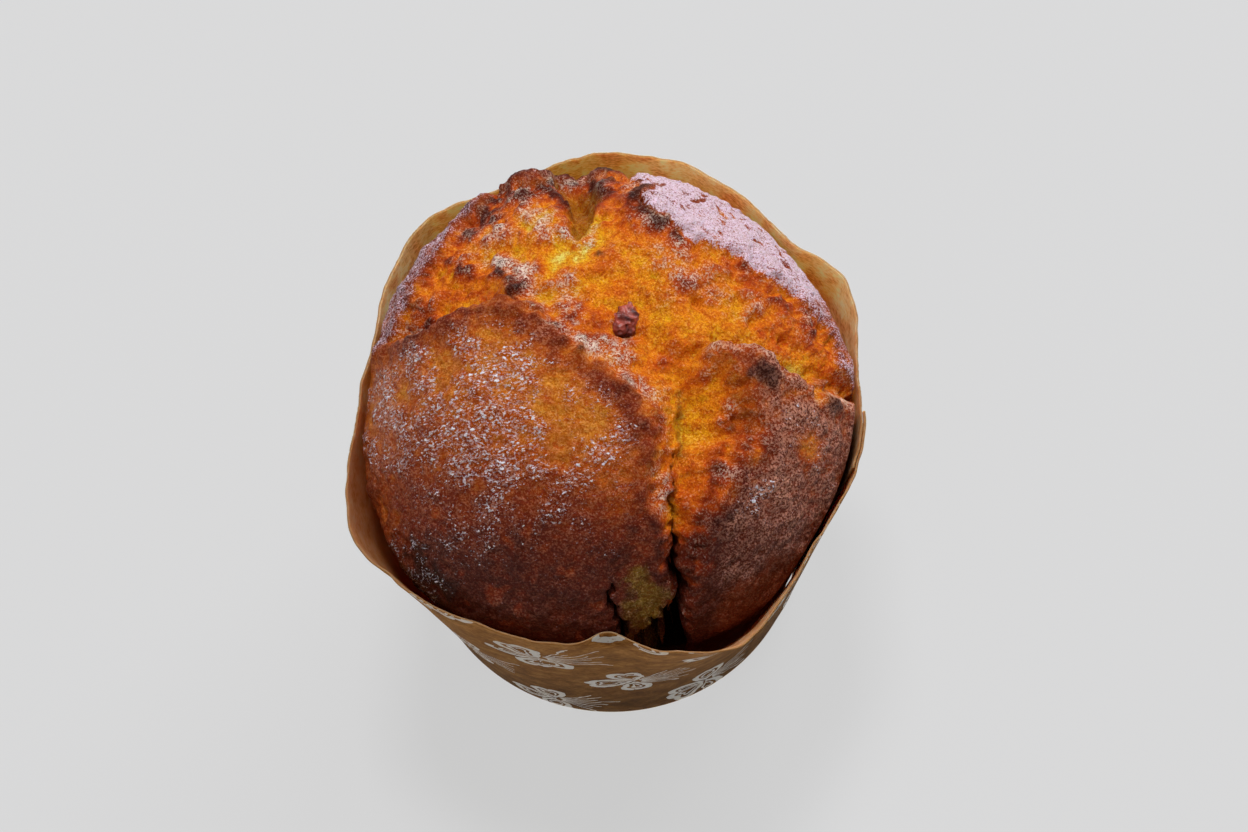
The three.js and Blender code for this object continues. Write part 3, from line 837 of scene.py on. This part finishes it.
    # the front, made darker: browner crust, and painted shade where it faces away from the light
    front = smoothStep(-3, -28, xy[:, 1])
    light = markSum(xy, marks["light"])
    spots = smoothStep(0.42, 0.6, gradientNoise(loose, 2.4, 54))  # glossy, where no sugar took
    toast = (
        toast
        - 0.22 * spots
        + border * np.clip(wander, 0.1, 1.1)
        + 0.2 * baked
        + 0.62 * front
        - light
        + (0.16 - 0.1 * front) * (broad + middle + small)
        + 0.12 * grains
    )
    color = rampColor(heat, colors["crumb"])
    color = blend(color, rampColor(toast, colors["crust"]), crustTone)
    purple = purple * (1 + 0.5 * middle + 0.4 * small) - 1.6 * light
    scorched = smoothStep(0.1, 0.8, purple + 0.15 * lumps)
    color = blend(color, colors["purple"], 0.8 * scorched * crustTone)
    soaked = smoothStep(0.35, 0.8, markSum(ragged, marks["soaked"]) + 0.15 * middle)
    color = blend(color, colors["soaked"], 0.75 * soaked)
    olive = smoothStep(0.25, 0.85, markSum(ragged, marks["olive"]) + 0.25 * small)
    color = blend(color, colors["olive"], 0.75 * olive)
    color = blend(color, colors["pit"], 0.85 * pit)
    char = smoothStep(0.3, 0.7, markSum(ragged, marks["char"]) + 0.25 * middle + 0.2 * small)
    color = blend(color, colors["char"], 0.8 * char)
    # painted shade: the cracks are coloured nearly black inside
    shade = smoothStep(0.6, 3.0, crack)
    color = blend(color, colors["deep"], shade)

    dust = markSum(ragged, marks["dust"]) + 0.7 * lumps + 0.35 * middle + 0.35 * grains
    dust = (dust + 0.22 - 0.6 * smooth - 0.4 * crustTone) * (1 - 0.6 * char) * (1 - pit)
    veil = 0.5 * markSum(ragged, marks["veil"]) * (1 + 0.6 * middle + 0.4 * small) - light
    dust = np.maximum(dust * (1 - 0.3 * crustTone), veil) * (1 - soaked)
    # where melted sugar lies on the crust, painted with glints
    melted = crustTone * smoothStep(0.8, 4.0, inside + 0.8 * small) * (1 - spots)
    fields = dict(
        bakedColor=color,
        crust=crustTone,
        dust=np.clip(dust, 0, 1) * (1 - shade),
        frostAndSheen=frostAndSheen * (1 - shade),
        glazeAndGlints=np.clip(melted * markSum(ragged, marks["glazeAndGlints"]) * (1 + 1.5 * middle), 0, 1),
        moist=np.clip(smooth + 0.4 * bare + pit, 0, 1),
    )
    return out, rise, fields


# The cake: the dressed dome, moved out along its normals and straight up, then coarse rings on
# down its side that follow the dome's rim, and a fan under it.
def makeMuffin(shape):
    grid, ring = domeGrid(shape)
    out, rise, fields = dressDome(grid.reshape(-1, 3), bakeRelief, bakeColors)
    calm = smoothStep(shape["rings"], shape["rings"] - 6, ring.ravel())
    top = grid.reshape(-1, 3) + gridNormals(grid).reshape(-1, 3) * (out * calm)[:, None]
    top[:, 2] += rise * calm
    reach = np.hypot(top[:, 0], top[:, 1])
    bearing = np.degrees(np.arctan2(top[:, 1], top[:, 0]))
    free = roomInCase(bearing, top[:, 2], shape)
    top[:, :2] *= (np.minimum(reach, free) / np.maximum(reach, 0.1))[:, None]
    index = np.arange(len(top)).reshape(ring.shape)
    border = np.concatenate([index[:-1, 0], index[-1, :-1], index[:0:-1, -1], index[0, :0:-1]])

    reach, bearing, edgeHeight = reach[border], bearing[border], top[border, 2]
    reach = np.minimum(reach, free[border])
    bottom = shape["bottomHeight"]
    rows = []
    for share, rounding in shape["sideRows"]:
        height = bottom + (edgeHeight - bottom) * share
        taper = shape["footRadius"] + (reach - shape["footRadius"]) * share
        radius = np.minimum(taper, roomInCase(bearing, height, shape)) - rounding
        rows.append(fromPolar(radius, np.radians(bearing), height))
    side = len(top) + np.arange(len(rows) * len(border)).reshape(len(rows), -1)
    rings = np.vstack([border[None], side])
    points = np.vstack([top, *rows, (0, 0, bottom)])
    under = poleFan(len(points) - 1, rings[-1, ::-1])
    faces = [*gridQuads(index), *gridQuads(closedRows(rings)), *under]
    extra = len(points) - len(top)
    sideColor = np.tile(hexColor(bakeColors["side"])[:3], (extra, 1))
    attributes = {
        key: np.concatenate([values, sideColor if key == "bakedColor" else np.zeros(extra)])
        for key, values in fields.items()
    }
    return makePiece("muffin_crust", points, faces, attributes)


print("baking the muffin")
muffin = makeMuffin(muffinShape)


fruitShape = dict(
    wrinkle=0.34,
    # the way each end points, where it sets in (the cosine away from it), how far it sticks out
    ends=[((-0.9, 0.35, 0.3), 0.75, 0.4), ((0.6, 0.7, 0.3), 0.8, 0.2)],
    around=160,
    along=110,
)


# A dried fruit piece: a sphere in (u, v) pulled to the size of its CAD solid's box, its radius
# a sum of lumps, deep soft folds and finer wrinkles, drawn out at its two ends.
def makeFruit(shape):
    low, high = (np.array(corner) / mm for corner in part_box("dried_fruit_piece"))
    middle, half = (low + high) / 2, (high - low) / 2
    u = np.linspace(0, 2 * np.pi, shape["around"], endpoint=False)[:, None]
    v = np.linspace(0, np.pi, shape["along"] + 2)[1:-1]
    ball = fromPolar(np.sin(v), u, np.cos(v)).reshape(-1, 3)
    ball = np.vstack([ball, (0, 0, 1), (0, 0, -1)])
    folds = 1 - 2 * abs(gradientNoise(ball * (1.0, 1.6, 1.0), 0.8, 61))
    wrinkles = 1 - 2 * abs(gradientNoise(ball, 0.32, 62))
    lumps = gradientNoise(ball, 1.1, 63)
    radius = 0.84 + 0.16 * lumps + shape["wrinkle"] * (0.4 * folds + 0.2 * wrinkles)
    for way, start, length in shape["ends"]:
        facing = ball @ (np.array(way) / np.linalg.norm(way))
        radius = radius + length * smoothStep(start, 1.0, facing)
    points = middle + ball * radius[:, None] * half
    count = len(ball) - 2
    index = closedRows(np.arange(count).reshape(shape["around"], -1).T)
    caps = [*poleFan(count, index[0, :-1]), *poleFan(count + 1, index[-1, -2::-1])]
    return makePiece("dried_fruit", points, [*gridQuads(index), *caps])


print("placing the dried fruit")
fruit = makeFruit(fruitShape)


crustFinish = dict(
    grainOnCrumb="#FFECD8",
    grainOnCrust="#EAA486",
    # the frost's colours: sugar, painted pale lavender as the sheen of the light it reflects
    frostSheenLight="#F8DEEC",
    frostDark="#A86048",
    # the melted sugar's flecks, painted near white as glints of light
    glazeAndGlints="#FFF8FF",
    roughness=0.46,
    moistRoughness=0.34,
    glazeRoughness=0.22,
    # sizes of the pattern, in millimetres: the grains are drawn about twice as coarse as real
    # sugar and crumb, so that they show at the size the cake is seen
    mottleSize=0.8,
    grainSize=0.23,
    crystalSize=0.25,
    curlSize=0.8,
    fleckSize=0.42,
    dropSize=0.95,
    dropBend=0.9,  # how far a bead's outline is pulled out of round
    beadRarity=0.84,  # the share of the cells without a bead where there is no glaze
    beadsPerGlaze=0.34,
    beadGrowth=0.72,
    # what the mottle makes of red, green and blue: from its dark spots to its light ones
    mottleSpan=(0.55, 0.86),
    mottleTints=[(0.76, 1.18), (0.44, 1.4), (0.05, 1.5)],
    beadRoughness=0.18,
    reliefDepth=0.55,
    scatterDepth=1.0,
)


# Baked cake: browned sugary crust over torn golden crumb. The colour baked into the surface
# comes with the mesh; here it gets its finest mottle, the dry pale grains that make it look
# crumbly, the sugar frost with its painted sheen, and melted sugar flecks painted as glints.
def makeCrustMaterial(finish):
    material, add = newMaterial("baked_muffin_crust")
    place = add("TexCoord", (), "Object")
    baked = add("Attribute", (), "Color", attribute_name="bakedColor")
    crust, dust, frostAndSheen, glazeAndGlints, moist = (
        add("Attribute", (), "Fac", attribute_name=field)
        for field in ("crust", "dust", "frostAndSheen", "glazeAndGlints", "moist")
    )

    scale = patternScale(finish["mottleSize"])
    mottle = add("TexNoise", {"Vector": place, "Scale": scale, "Detail": 3.0})
    mottleColor = add("TexNoise", {"Vector": place, "Scale": 2 * scale}, "Color")
    scale = patternScale(finish["grainSize"])
    fineNoise = {"Vector": place, "Scale": scale, "Detail": 3.0, "Roughness": 0.75}
    grain = add("TexNoise", fineNoise)
    scale = patternScale(finish["curlSize"])
    curl = add("TexNoise", {"Vector": place, "Scale": scale, "Detail": 1.5})
    long = add("VectorMath", (place, (1, 1.6, 1)), operation="MULTIPLY")
    scale = patternScale(finish["fleckSize"])
    fleckNoise = {"Vector": long, "Scale": scale, "Detail": 2.0, "Roughness": 0.7}
    fleck = add("TexNoise", fleckNoise)

    # every crystal and crumb is a small cell with a brightness of its own
    scale = patternScale(finish["crystalSize"])
    chip = add("TexVoronoi", {"Vector": place, "Scale": scale}, "Color")
    chip = add("SeparateXYZ", (chip,), "X")
    jump = add("Math", (chip, 0.5), operation="SUBTRACT")

    # mottle: darker and redder, lighter and yellower by turns, over the baked colour
    speck = add("Math", (mottle, 0.4, grain), operation="MULTIPLY_ADD")
    speck = add("Math", (jump, 0.24, speck), operation="MULTIPLY_ADD")
    start, end = finish["mottleSpan"]
    tints = finish["mottleTints"]
    tint = tuple(add("MapRange", (speck, start, end, dark, light)) for dark, light in tints)
    tint = add("CombineXYZ", tint)
    color = add("VectorMath", (baked, tint), operation="MULTIPLY")

    # grains where the noise rises over a level that falls with the dust, and curls where it
    # crosses its middle
    over = grain
    for part, weight in ((dust, 0.17), (crust, 0.07), (jump, 0.2)):
        over = add("Math", (part, weight, over), operation="MULTIPLY_ADD")
    grains = add("MapRange", (over, 0.6, 0.64))
    middle = add("Math", (curl, 0.5), operation="SUBTRACT")
    away = add("Math", (middle,), operation="ABSOLUTE")
    level = add("Math", (dust, 0.06, -0.02), operation="MULTIPLY_ADD")
    under = add("Math", (level, away), operation="SUBTRACT")
    curls = add("MapRange", {0: under, 1: -0.01, 2: 0.02, 4: 0.7})
    torn = add("MapRange", {0: crust, 3: 1.0, 4: 0.15})
    curls = add("Math", (curls, torn), operation="MULTIPLY")
    dusty = add("Math", (grains, curls), operation="MAXIMUM")
    # and they show most where dust lies thick and the crust under it isn't burnt
    held = add("Math", (crust, 0.1, dust), operation="MULTIPLY_ADD")
    held = add("Math", (glazeAndGlints, 0.16, held), operation="MULTIPLY_ADD")
    held = add("MapRange", (held, 0.0, 0.8, 0.07, 0.8))
    bright = add("RGBToBW", {"Color": baked})
    bright = add("MapRange", (bright, 0.002, 0.06))
    held = add("Math", (held, bright), operation="MULTIPLY")
    dusty = add("Math", (dusty, held), operation="MULTIPLY")
    pale = {0: crust, 6: hexColor(finish["grainOnCrumb"]), 7: hexColor(finish["grainOnCrust"])}
    pale = add("Mix", pale, 2, data_type="RGBA")
    color = add("Mix", {0: dusty, 6: color, 7: pale}, 2, data_type="RGBA")

    # frost: sugar painted pale lavender as a sheen of reflected light, nearly closed, broken where the
    # grain sinks
    over = add("Math", (frostAndSheen, 0.42, grain), operation="MULTIPLY_ADD")
    frosted = add("MapRange", (over, 0.66, 0.82))
    closed = add("MapRange", (grain, 0.34, 0.54))
    rime = {0: closed, 6: hexColor(finish["frostDark"]), 7: hexColor(finish["frostSheenLight"])}
    rime = add("Mix", rime, 2, data_type="RGBA")
    color = add("Mix", {0: frosted, 6: color, 7: rime}, 2, data_type="RGBA")

    # flecks of melted sugar, painted white as glints of light, thin in places
    over = add("Math", (glazeAndGlints, 0.13, fleck), operation="MULTIPLY_ADD")
    glazeGlints = add("MapRange", {0: over, 1: 0.675, 2: 0.695, 4: 0.9})
    thick = add("MapRange", (glazeAndGlints, 0.06, 0.5))
    thin = add("MapRange", (mottle, 0.42, 0.6, 0.3, 1.0))
    for share in (thick, thin):
        glazeGlints = add("Math", (glazeGlints, share), operation="MULTIPLY")

    # rounder beads of melted sugar among the flecks, painted as glints too: a share of the cells,
    # larger where the glaze is thick, their outlines bent by the grain
    bend = {0: mottleColor, "Scale": finish["dropBend"] * mm}
    bend = add("VectorMath", bend, operation="SCALE")
    bent = add("VectorMath", (long, bend), operation="ADD")
    drop = {"Vector": bent, "Scale": patternScale(finish["dropSize"])}
    far = add("TexVoronoi", drop, "Distance")
    luck = add("TexVoronoi", drop, "Color")
    luck = add("SeparateXYZ", (luck,), "Y")
    wide = add("Math", (glazeAndGlints, finish["beadsPerGlaze"], luck), operation="MULTIPLY_ADD")
    wide = add("Math", (wide, finish["beadRarity"]), operation="SUBTRACT")
    within = add("Math", (wide, finish["beadGrowth"]), operation="MULTIPLY")
    within = add("Math", (within, far), operation="SUBTRACT")
    beads = add("MapRange", {0: within, 1: -0.02, 2: 0.05, 4: 1.0})
    some = add("MapRange", (glazeAndGlints, 0.08, 0.2))
    beads = add("Math", (beads, some), operation="MULTIPLY")
    glazeGlints = add("Math", (glazeGlints, beads), operation="MAXIMUM")
    sugar = {0: glazeGlints, 6: color, 7: hexColor(finish["glazeAndGlints"])}
    color = add("Mix", sugar, 2, data_type="RGBA")

    rough = add("MapRange", {0: moist, 3: finish["roughness"], 4: finish["moistRoughness"]})
    rough = add("Math", (dusty, 0.3, rough), operation="MULTIPLY_ADD")
    rough = add("MapRange", {0: glazeAndGlints, 2: 0.8, 3: rough, 4: finish["glazeRoughness"]})
    rough = add("MapRange", {0: glazeGlints, 3: rough, 4: finish["beadRoughness"]})

    height = mottle
    for part, weight in ((grain, 0.5), (dusty, 0.25), (glazeGlints, 0.2)):
        height = add("Math", (part, weight, height), operation="MULTIPLY_ADD")
    relief = {"Strength": 1.0, "Distance": finish["reliefDepth"] * mm, "Height": height}
    cake = {
        "Base Color": color,
        "Roughness": rough,
        "IOR": 1.46,
        "Specular IOR Level": 0.15,
        "Subsurface Weight": 0.08,
        "Subsurface Radius": (1.0, 0.35, 0.08),
        "Subsurface Scale": finish["scatterDepth"] * mm,
        "Normal": add("Bump", relief),
    }
    shader = add("BsdfPrincipled", cake)
    add("OutputMaterial", {"Surface": shader})
    return material


fruitFinish = dict(dark="#481210", light="#AC4C3C", roughness=0.36, patchSize=1 / 0.9, reliefDepth=0.2)


# Dried fruit: dark red-brown, wrinkled, with a soft sticky shine.
def makeFruitMaterial(finish):
    material, add = newMaterial("dried_fruit_skin")
    place = add("TexCoord", (), "Object")
    scale = patternScale(finish["patchSize"])
    patches = add("TexNoise", {"Vector": place, "Scale": scale, "Detail": 4.0})
    stops = [(0.35, finish["dark"]), (0.65, finish["light"])]
    color = add("ValToRGB", {"Fac": patches}, stops=stops)
    relief = {"Strength": 0.5, "Distance": finish["reliefDepth"] * mm, "Height": patches}
    skin = {
        "Base Color": color,
        "Roughness": finish["roughness"],
        "IOR": 1.5,
        "Normal": add("Bump", relief),
    }
    shader = add("BsdfPrincipled", skin)
    add("OutputMaterial", {"Surface": shader})
    return material


paperFinish = dict(
    outside=[(0.36, "#5A3610"), (0.5, "#7A4E1E"), (0.64, "#986A36")],
    # the inside is painted paler and warmer: painted light for what falls through the paper
    inside=[(0.36, "#D08C50"), (0.5, "#FFC48C"), (0.64, "#FFE0BA")],
    # painted shade, low down and at the front of the inside
    paintedShade="#8A4A12",
    edge="#8C7050",
    ink="#C6C2BA",
    roughness=0.8,
    columnPitch=22.8,  # two staggered columns of flowers
    rowPitch=31.0,
    printOffset=(67.35, 5.0),
    petalReach=3.6,
    petalSize=(2.7, 2.6),
    strokes=30,  # for a whole turn; only those to the flower's right are printed
    strokeWidth=0.24,
    inkRub=(0.85, 0.4),  # how dense the ink is where it took well and where it is rubbed
    strokeLengths=(5.8, 4.0),  # the shortest, and how much longer the longest is
    # of the pulp, drawn about three times as coarse as real so that it shows
    fibreSize=1 / 1.8,
    cloudSize=1 / 0.42,
    reliefDepth=0.12,
    scatterDepth=1.0,
)


# Greaseproof kraft paper: unbleached brown, calendered to a dull shine, thin enough to glow
# where light falls through it, with flowers printed outside in one thin off-white ink.
def makePaperMaterial(finish):
    material, add = newMaterial("printed_kraft_paper")
    place = add("TexCoord", (), "Object")
    flat = add("UVMap", (), uv_map="flat")
    inside, cutEdge = (
        add("Attribute", (), "Fac", attribute_name=field) for field in ("inside", "cutEdge")
    )

    # the sheet in millimetres, pulled about a little so that the strokes look hand drawn
    sheet = add("VectorMath", (flat, (sheetSize, sheetSize, 0)), operation="MULTIPLY")
    wobble = add("TexNoise", {"Vector": sheet, "Scale": 0.45, "Detail": 2.0}, "Color")
    wobble = add("VectorMath", (wobble, (0.5, 0.5, 0.5)), operation="SUBTRACT")
    wobble = add("VectorMath", (wobble, (1.6, 1.6, 0)), operation="MULTIPLY")
    offset = (*finish["printOffset"], 0)
    sheet = add("VectorMath", (sheet, offset), operation="SUBTRACT")
    drawn = add("VectorMath", (sheet, wobble), operation="ADD")

    # the nearest flower of a staggered lattice: the corner or the middle of the cell
    pitch = (finish["columnPitch"], finish["rowPitch"], 1)
    half = (0.5, 0.5, 0)
    cell = add("VectorMath", (drawn, pitch), operation="DIVIDE")
    shifted = add("VectorMath", (cell, half), operation="ADD")
    ways = []
    for spot in (cell, shifted):
        way = add("VectorMath", (spot,), operation="FRACTION")
        way = add("VectorMath", (way, half), operation="SUBTRACT")
        ways.append(add("VectorMath", (way, pitch), operation="MULTIPLY"))
    toMiddle, toCorner = ways
    farMiddle, farCorner = (add("VectorMath", (way,), "Value", operation="LENGTH") for way in ways)
    isCorner = add("Math", (farCorner, farMiddle), operation="LESS_THAN")
    local = add("Mix", {0: isCorner, 4: toMiddle, 5: toCorner}, 1, data_type="VECTOR")
    whole = add("VectorMath", (cell,), operation="FLOOR")
    wholeShifted = add("VectorMath", (shifted,), operation="FLOOR")
    which = add("VectorMath", (whole, wholeShifted), operation="ADD")
    chance = add("TexWhiteNoise", {"Vector": which}, "Value", noise_dimensions="3D")
    turn = add("Math", (chance, 0.9, -0.6), operation="MULTIPLY_ADD")
    local = add("VectorRotate", {"Vector": local, "Axis": (0, 0, 1), "Angle": turn})

    # three heart-shaped petals, each with a bold outline and a thin one inside it: the angle
    # folds to one petal, and the root of its half width draws the notch
    x = add("SeparateXYZ", (local,), "X")
    y = add("SeparateXYZ", (local,), "Y")
    angle = add("Math", (y, x), operation="ARCTAN2")
    reach = add("VectorMath", (local,), "Value", operation="LENGTH")
    folded = add("Math", (angle, np.pi / 4, -np.pi / 4), operation="WRAP")
    cosine = add("Math", (folded,), operation="COSINE")
    sine = add("Math", (folded,), operation="SINE")
    along = add("Math", (reach, cosine), operation="MULTIPLY")
    along = add("Math", (along, finish["petalReach"]), operation="SUBTRACT")
    across = add("Math", (reach, sine), operation="MULTIPLY")
    length, width = finish["petalSize"]
    along = add("Math", (along, length), operation="DIVIDE")
    across = add("Math", (across, width), operation="DIVIDE")
    notch = add("Math", (across,), operation="ABSOLUTE")
    notch = add("Math", (notch,), operation="SQRT")
    along = add("Math", (notch, -0.6, along), operation="MULTIPLY_ADD")
    along = add("Math", (along, 0.3), operation="ADD")
    petal = add("CombineXYZ", (along, across))
    size = add("VectorMath", (petal,), "Value", operation="LENGTH")
    bold = add("Math", (size, 0.84, 0.18), operation="COMPARE")
    thin = add("Math", (size, 0.42, 0.07), operation="COMPARE")
    petals = add("Math", (bold, thin), operation="MAXIMUM")
    bearing = add("Math", (angle,), operation="ABSOLUTE")
    turned = add("Math", (bearing, np.pi / 4), operation="GREATER_THAN")
    petals = add("Math", (petals, turned), operation="MULTIPLY")

    # thin strokes that fan out in place of the fourth petal, each of its own length
    perTurn = finish["strokes"] / (2 * np.pi)
    fan = add("Math", (angle, perTurn, 0.5), operation="MULTIPLY_ADD")
    number = add("Math", (fan,), operation="FLOOR")
    number = add("Math", (number, chance), operation="ADD")
    length = add("TexWhiteNoise", {"W": number}, "Value", noise_dimensions="1D")
    shortest, spread = finish["strokeLengths"]
    length = add("Math", (length, spread, shortest), operation="MULTIPLY_ADD")
    off = add("Math", (fan,), operation="FRACT")
    off = add("Math", (off, 0.5), operation="SUBTRACT")
    off = add("Math", (off,), operation="ABSOLUTE")
    off = add("Math", (off, reach), operation="MULTIPLY")
    band = {"To Min": 1.0, "To Max": 0.0}
    limit = 0.5 * finish["strokeWidth"] * perTurn
    stroke = add("MapRange", {0: off, 1: 0.7 * limit, 2: 1.3 * limit, **band})
    short = add("Math", (reach, length), operation="LESS_THAN")
    ahead = add("Math", (bearing, 0.7), operation="LESS_THAN")
    clear = add("Math", (x, 1.0), operation="GREATER_THAN")
    for inFan in (short, ahead, clear):
        stroke = add("Math", (stroke, inFan), operation="MULTIPLY")

    # the ink is rubbed thin in places, and only on the outside
    rub = add("TexNoise", {"Vector": sheet, "Scale": 2.4, "Detail": 3.0})
    dense, rubbed = finish["inkRub"]
    rub = add("MapRange", (rub, 0.56, 0.7, dense, rubbed))
    outside = add("MapRange", {0: inside, 1: 0.3, 2: 0.4, **band})
    ink = add("Math", (petals, stroke), operation="MAXIMUM")
    for share in (rub, outside):
        ink = add("Math", (ink, share), operation="MULTIPLY")

    # long fibres round the case and soft clouds of pulp
    grainWay = add("VectorMath", (place, (1, 1, 2.6)), operation="MULTIPLY")
    scale = patternScale(finish["fibreSize"])
    fibres = add("TexNoise", {"Vector": grainWay, "Scale": scale, "Detail": 6.0})
    scale = patternScale(finish["cloudSize"])
    clouds = add("TexNoise", {"Vector": place, "Scale": scale, "Detail": 5.0})
    tone = add("Math", (fibres, clouds), operation="ADD")
    tone = add("Math", (tone, 0.5), operation="MULTIPLY")
    outerColor = add("ValToRGB", {"Fac": tone}, stops=finish["outside"])
    # inside, painted light: paler and warmer for the light that falls through the paper
    innerGlowAndShade = add("ValToRGB", {"Fac": tone}, stops=finish["inside"])
    # painted shade: darker towards the foot, and inside darker low down and towards the front, least at
    # the back
    rise = add("SeparateXYZ", (sheet,), "Y")
    unshaded = add("MapRange", (rise, 0.0, 38.0, 0.45, 1.0))
    outerColor = add("VectorMath", {0: outerColor, "Scale": unshaded}, operation="SCALE")
    unshaded = add("MapRange", (rise, 28.0, 40.0, 0.2, 1.0))
    back = add("SeparateXYZ", (place,), "Y")
    back = add("MapRange", (back, -6 * mm, 12 * mm, 0.35, 1.0))
    unshaded = add("Math", (unshaded, back), operation="MULTIPLY")
    paintedShade, ends = hexColor(finish["paintedShade"]), hexColor(finish["edge"])
    innerGlowAndShade = add("Mix", {0: unshaded, 6: paintedShade, 7: innerGlowAndShade}, 2, data_type="RGBA")
    color = outerColor
    for share, over in ((inside, innerGlowAndShade), (ink, hexColor(finish["ink"])), (cutEdge, ends)):
        color = add("Mix", {0: share, 6: color, 7: over}, 2, data_type="RGBA")
    relief = {"Strength": 0.35, "Distance": finish["reliefDepth"] * mm, "Height": tone}
    paper = {
        "Base Color": color,
        "Roughness": finish["roughness"],
        "IOR": 1.45,
        "Specular IOR Level": 0.06,
        "Subsurface Weight": 1.0,
        "Subsurface Radius": (1.0, 0.8, 0.55),
        "Subsurface Scale": finish["scatterDepth"] * mm,
        "Normal": add("Bump", relief),
    }
    shader = add("BsdfPrincipled", paper)
    add("OutputMaterial", {"Surface": shader})
    return material


print("mixing the materials")
crustMaterial = makeCrustMaterial(crustFinish)
paperMaterial = makePaperMaterial(paperFinish)
fruitMaterial = makeFruitMaterial(fruitFinish)
for piece, material, slotName, node in (
    (caseWall, paperMaterial, "printed_kraft_paper", "case_wall"),
    (caseBase, paperMaterial, "kraft_paper", "case_base"),
    (muffin, crustMaterial, "baked_crust", "muffin"),
    (fruit, fruitMaterial, "dried_fruit", "dried_fruit_piece"),
):
    piece.data.materials.append(material)
    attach(piece, "root")
    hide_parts(node)

studio = dict(
    floorColor="#606060",
    floorGlow=0.566,  # the card is lit from below too, so that the muffin's shadow stays faint
    worldStrength=0.2,
    floorReach=3000,
    target=(0, 0, 40),
    # name, place, size, watts, colour
    lights=[
        ("window", (550, 1000, 750), (700, 500), 10.8, "#F2F4FA"),
        ("overhead", (-100, 350, 1200), (250, 250), 9.8, "#F6F6FA"),
        ("fill", (-600, -900, 900), (1200, 1200), 2.1, "#FFF8F0"),
    ],
)


# A matt card: a flat square grid that glows a little.
def makeFloor(finish):
    side = np.linspace(-finish["floorReach"], finish["floorReach"], 3)
    x, y = (a.ravel() for a in np.meshgrid(side, side, indexing="ij"))
    quads = gridQuads(np.arange(9).reshape(3, 3))
    floor = makePiece("studio_floor", np.stack([x, y, 0 * x], axis=1), quads)
    material, add = newMaterial("matt_grey_card")
    card = {
        "Base Color": hexColor(finish["floorColor"]),
        "Roughness": 0.9,
        "Specular IOR Level": 0.1,
        "Emission Color": hexColor("#FFFFFF"),
        "Emission Strength": finish["floorGlow"],
    }
    shader = add("BsdfPrincipled", card)
    add("OutputMaterial", {"Surface": shader})
    floor.data.materials.append(material)


# Soft light: a white world that is only faint, and square lamps turned to the cake.
def makeLights(finish):
    world = bpy.data.worlds.new("studio")
    bpy.context.scene.world = world
    world.use_nodes = True
    background = world.node_tree.nodes["Background"]
    background.inputs["Color"].default_value = hexColor("#FFFFFF")
    background.inputs["Strength"].default_value = finish["worldStrength"]
    for name, place, size, power, color in finish["lights"]:
        data = bpy.data.lights.new(name, "AREA")
        data.shape = "RECTANGLE"
        data.size, data.size_y = (side * mm for side in size)
        data.energy = power
        data.color = hexColor(color)[:3]
        aimObject(name, data, place, finish["target"])


print("lighting the studio")
makeFloor(studio)
makeLights(studio)
bpy.context.scene.view_settings.view_transform = "Standard"
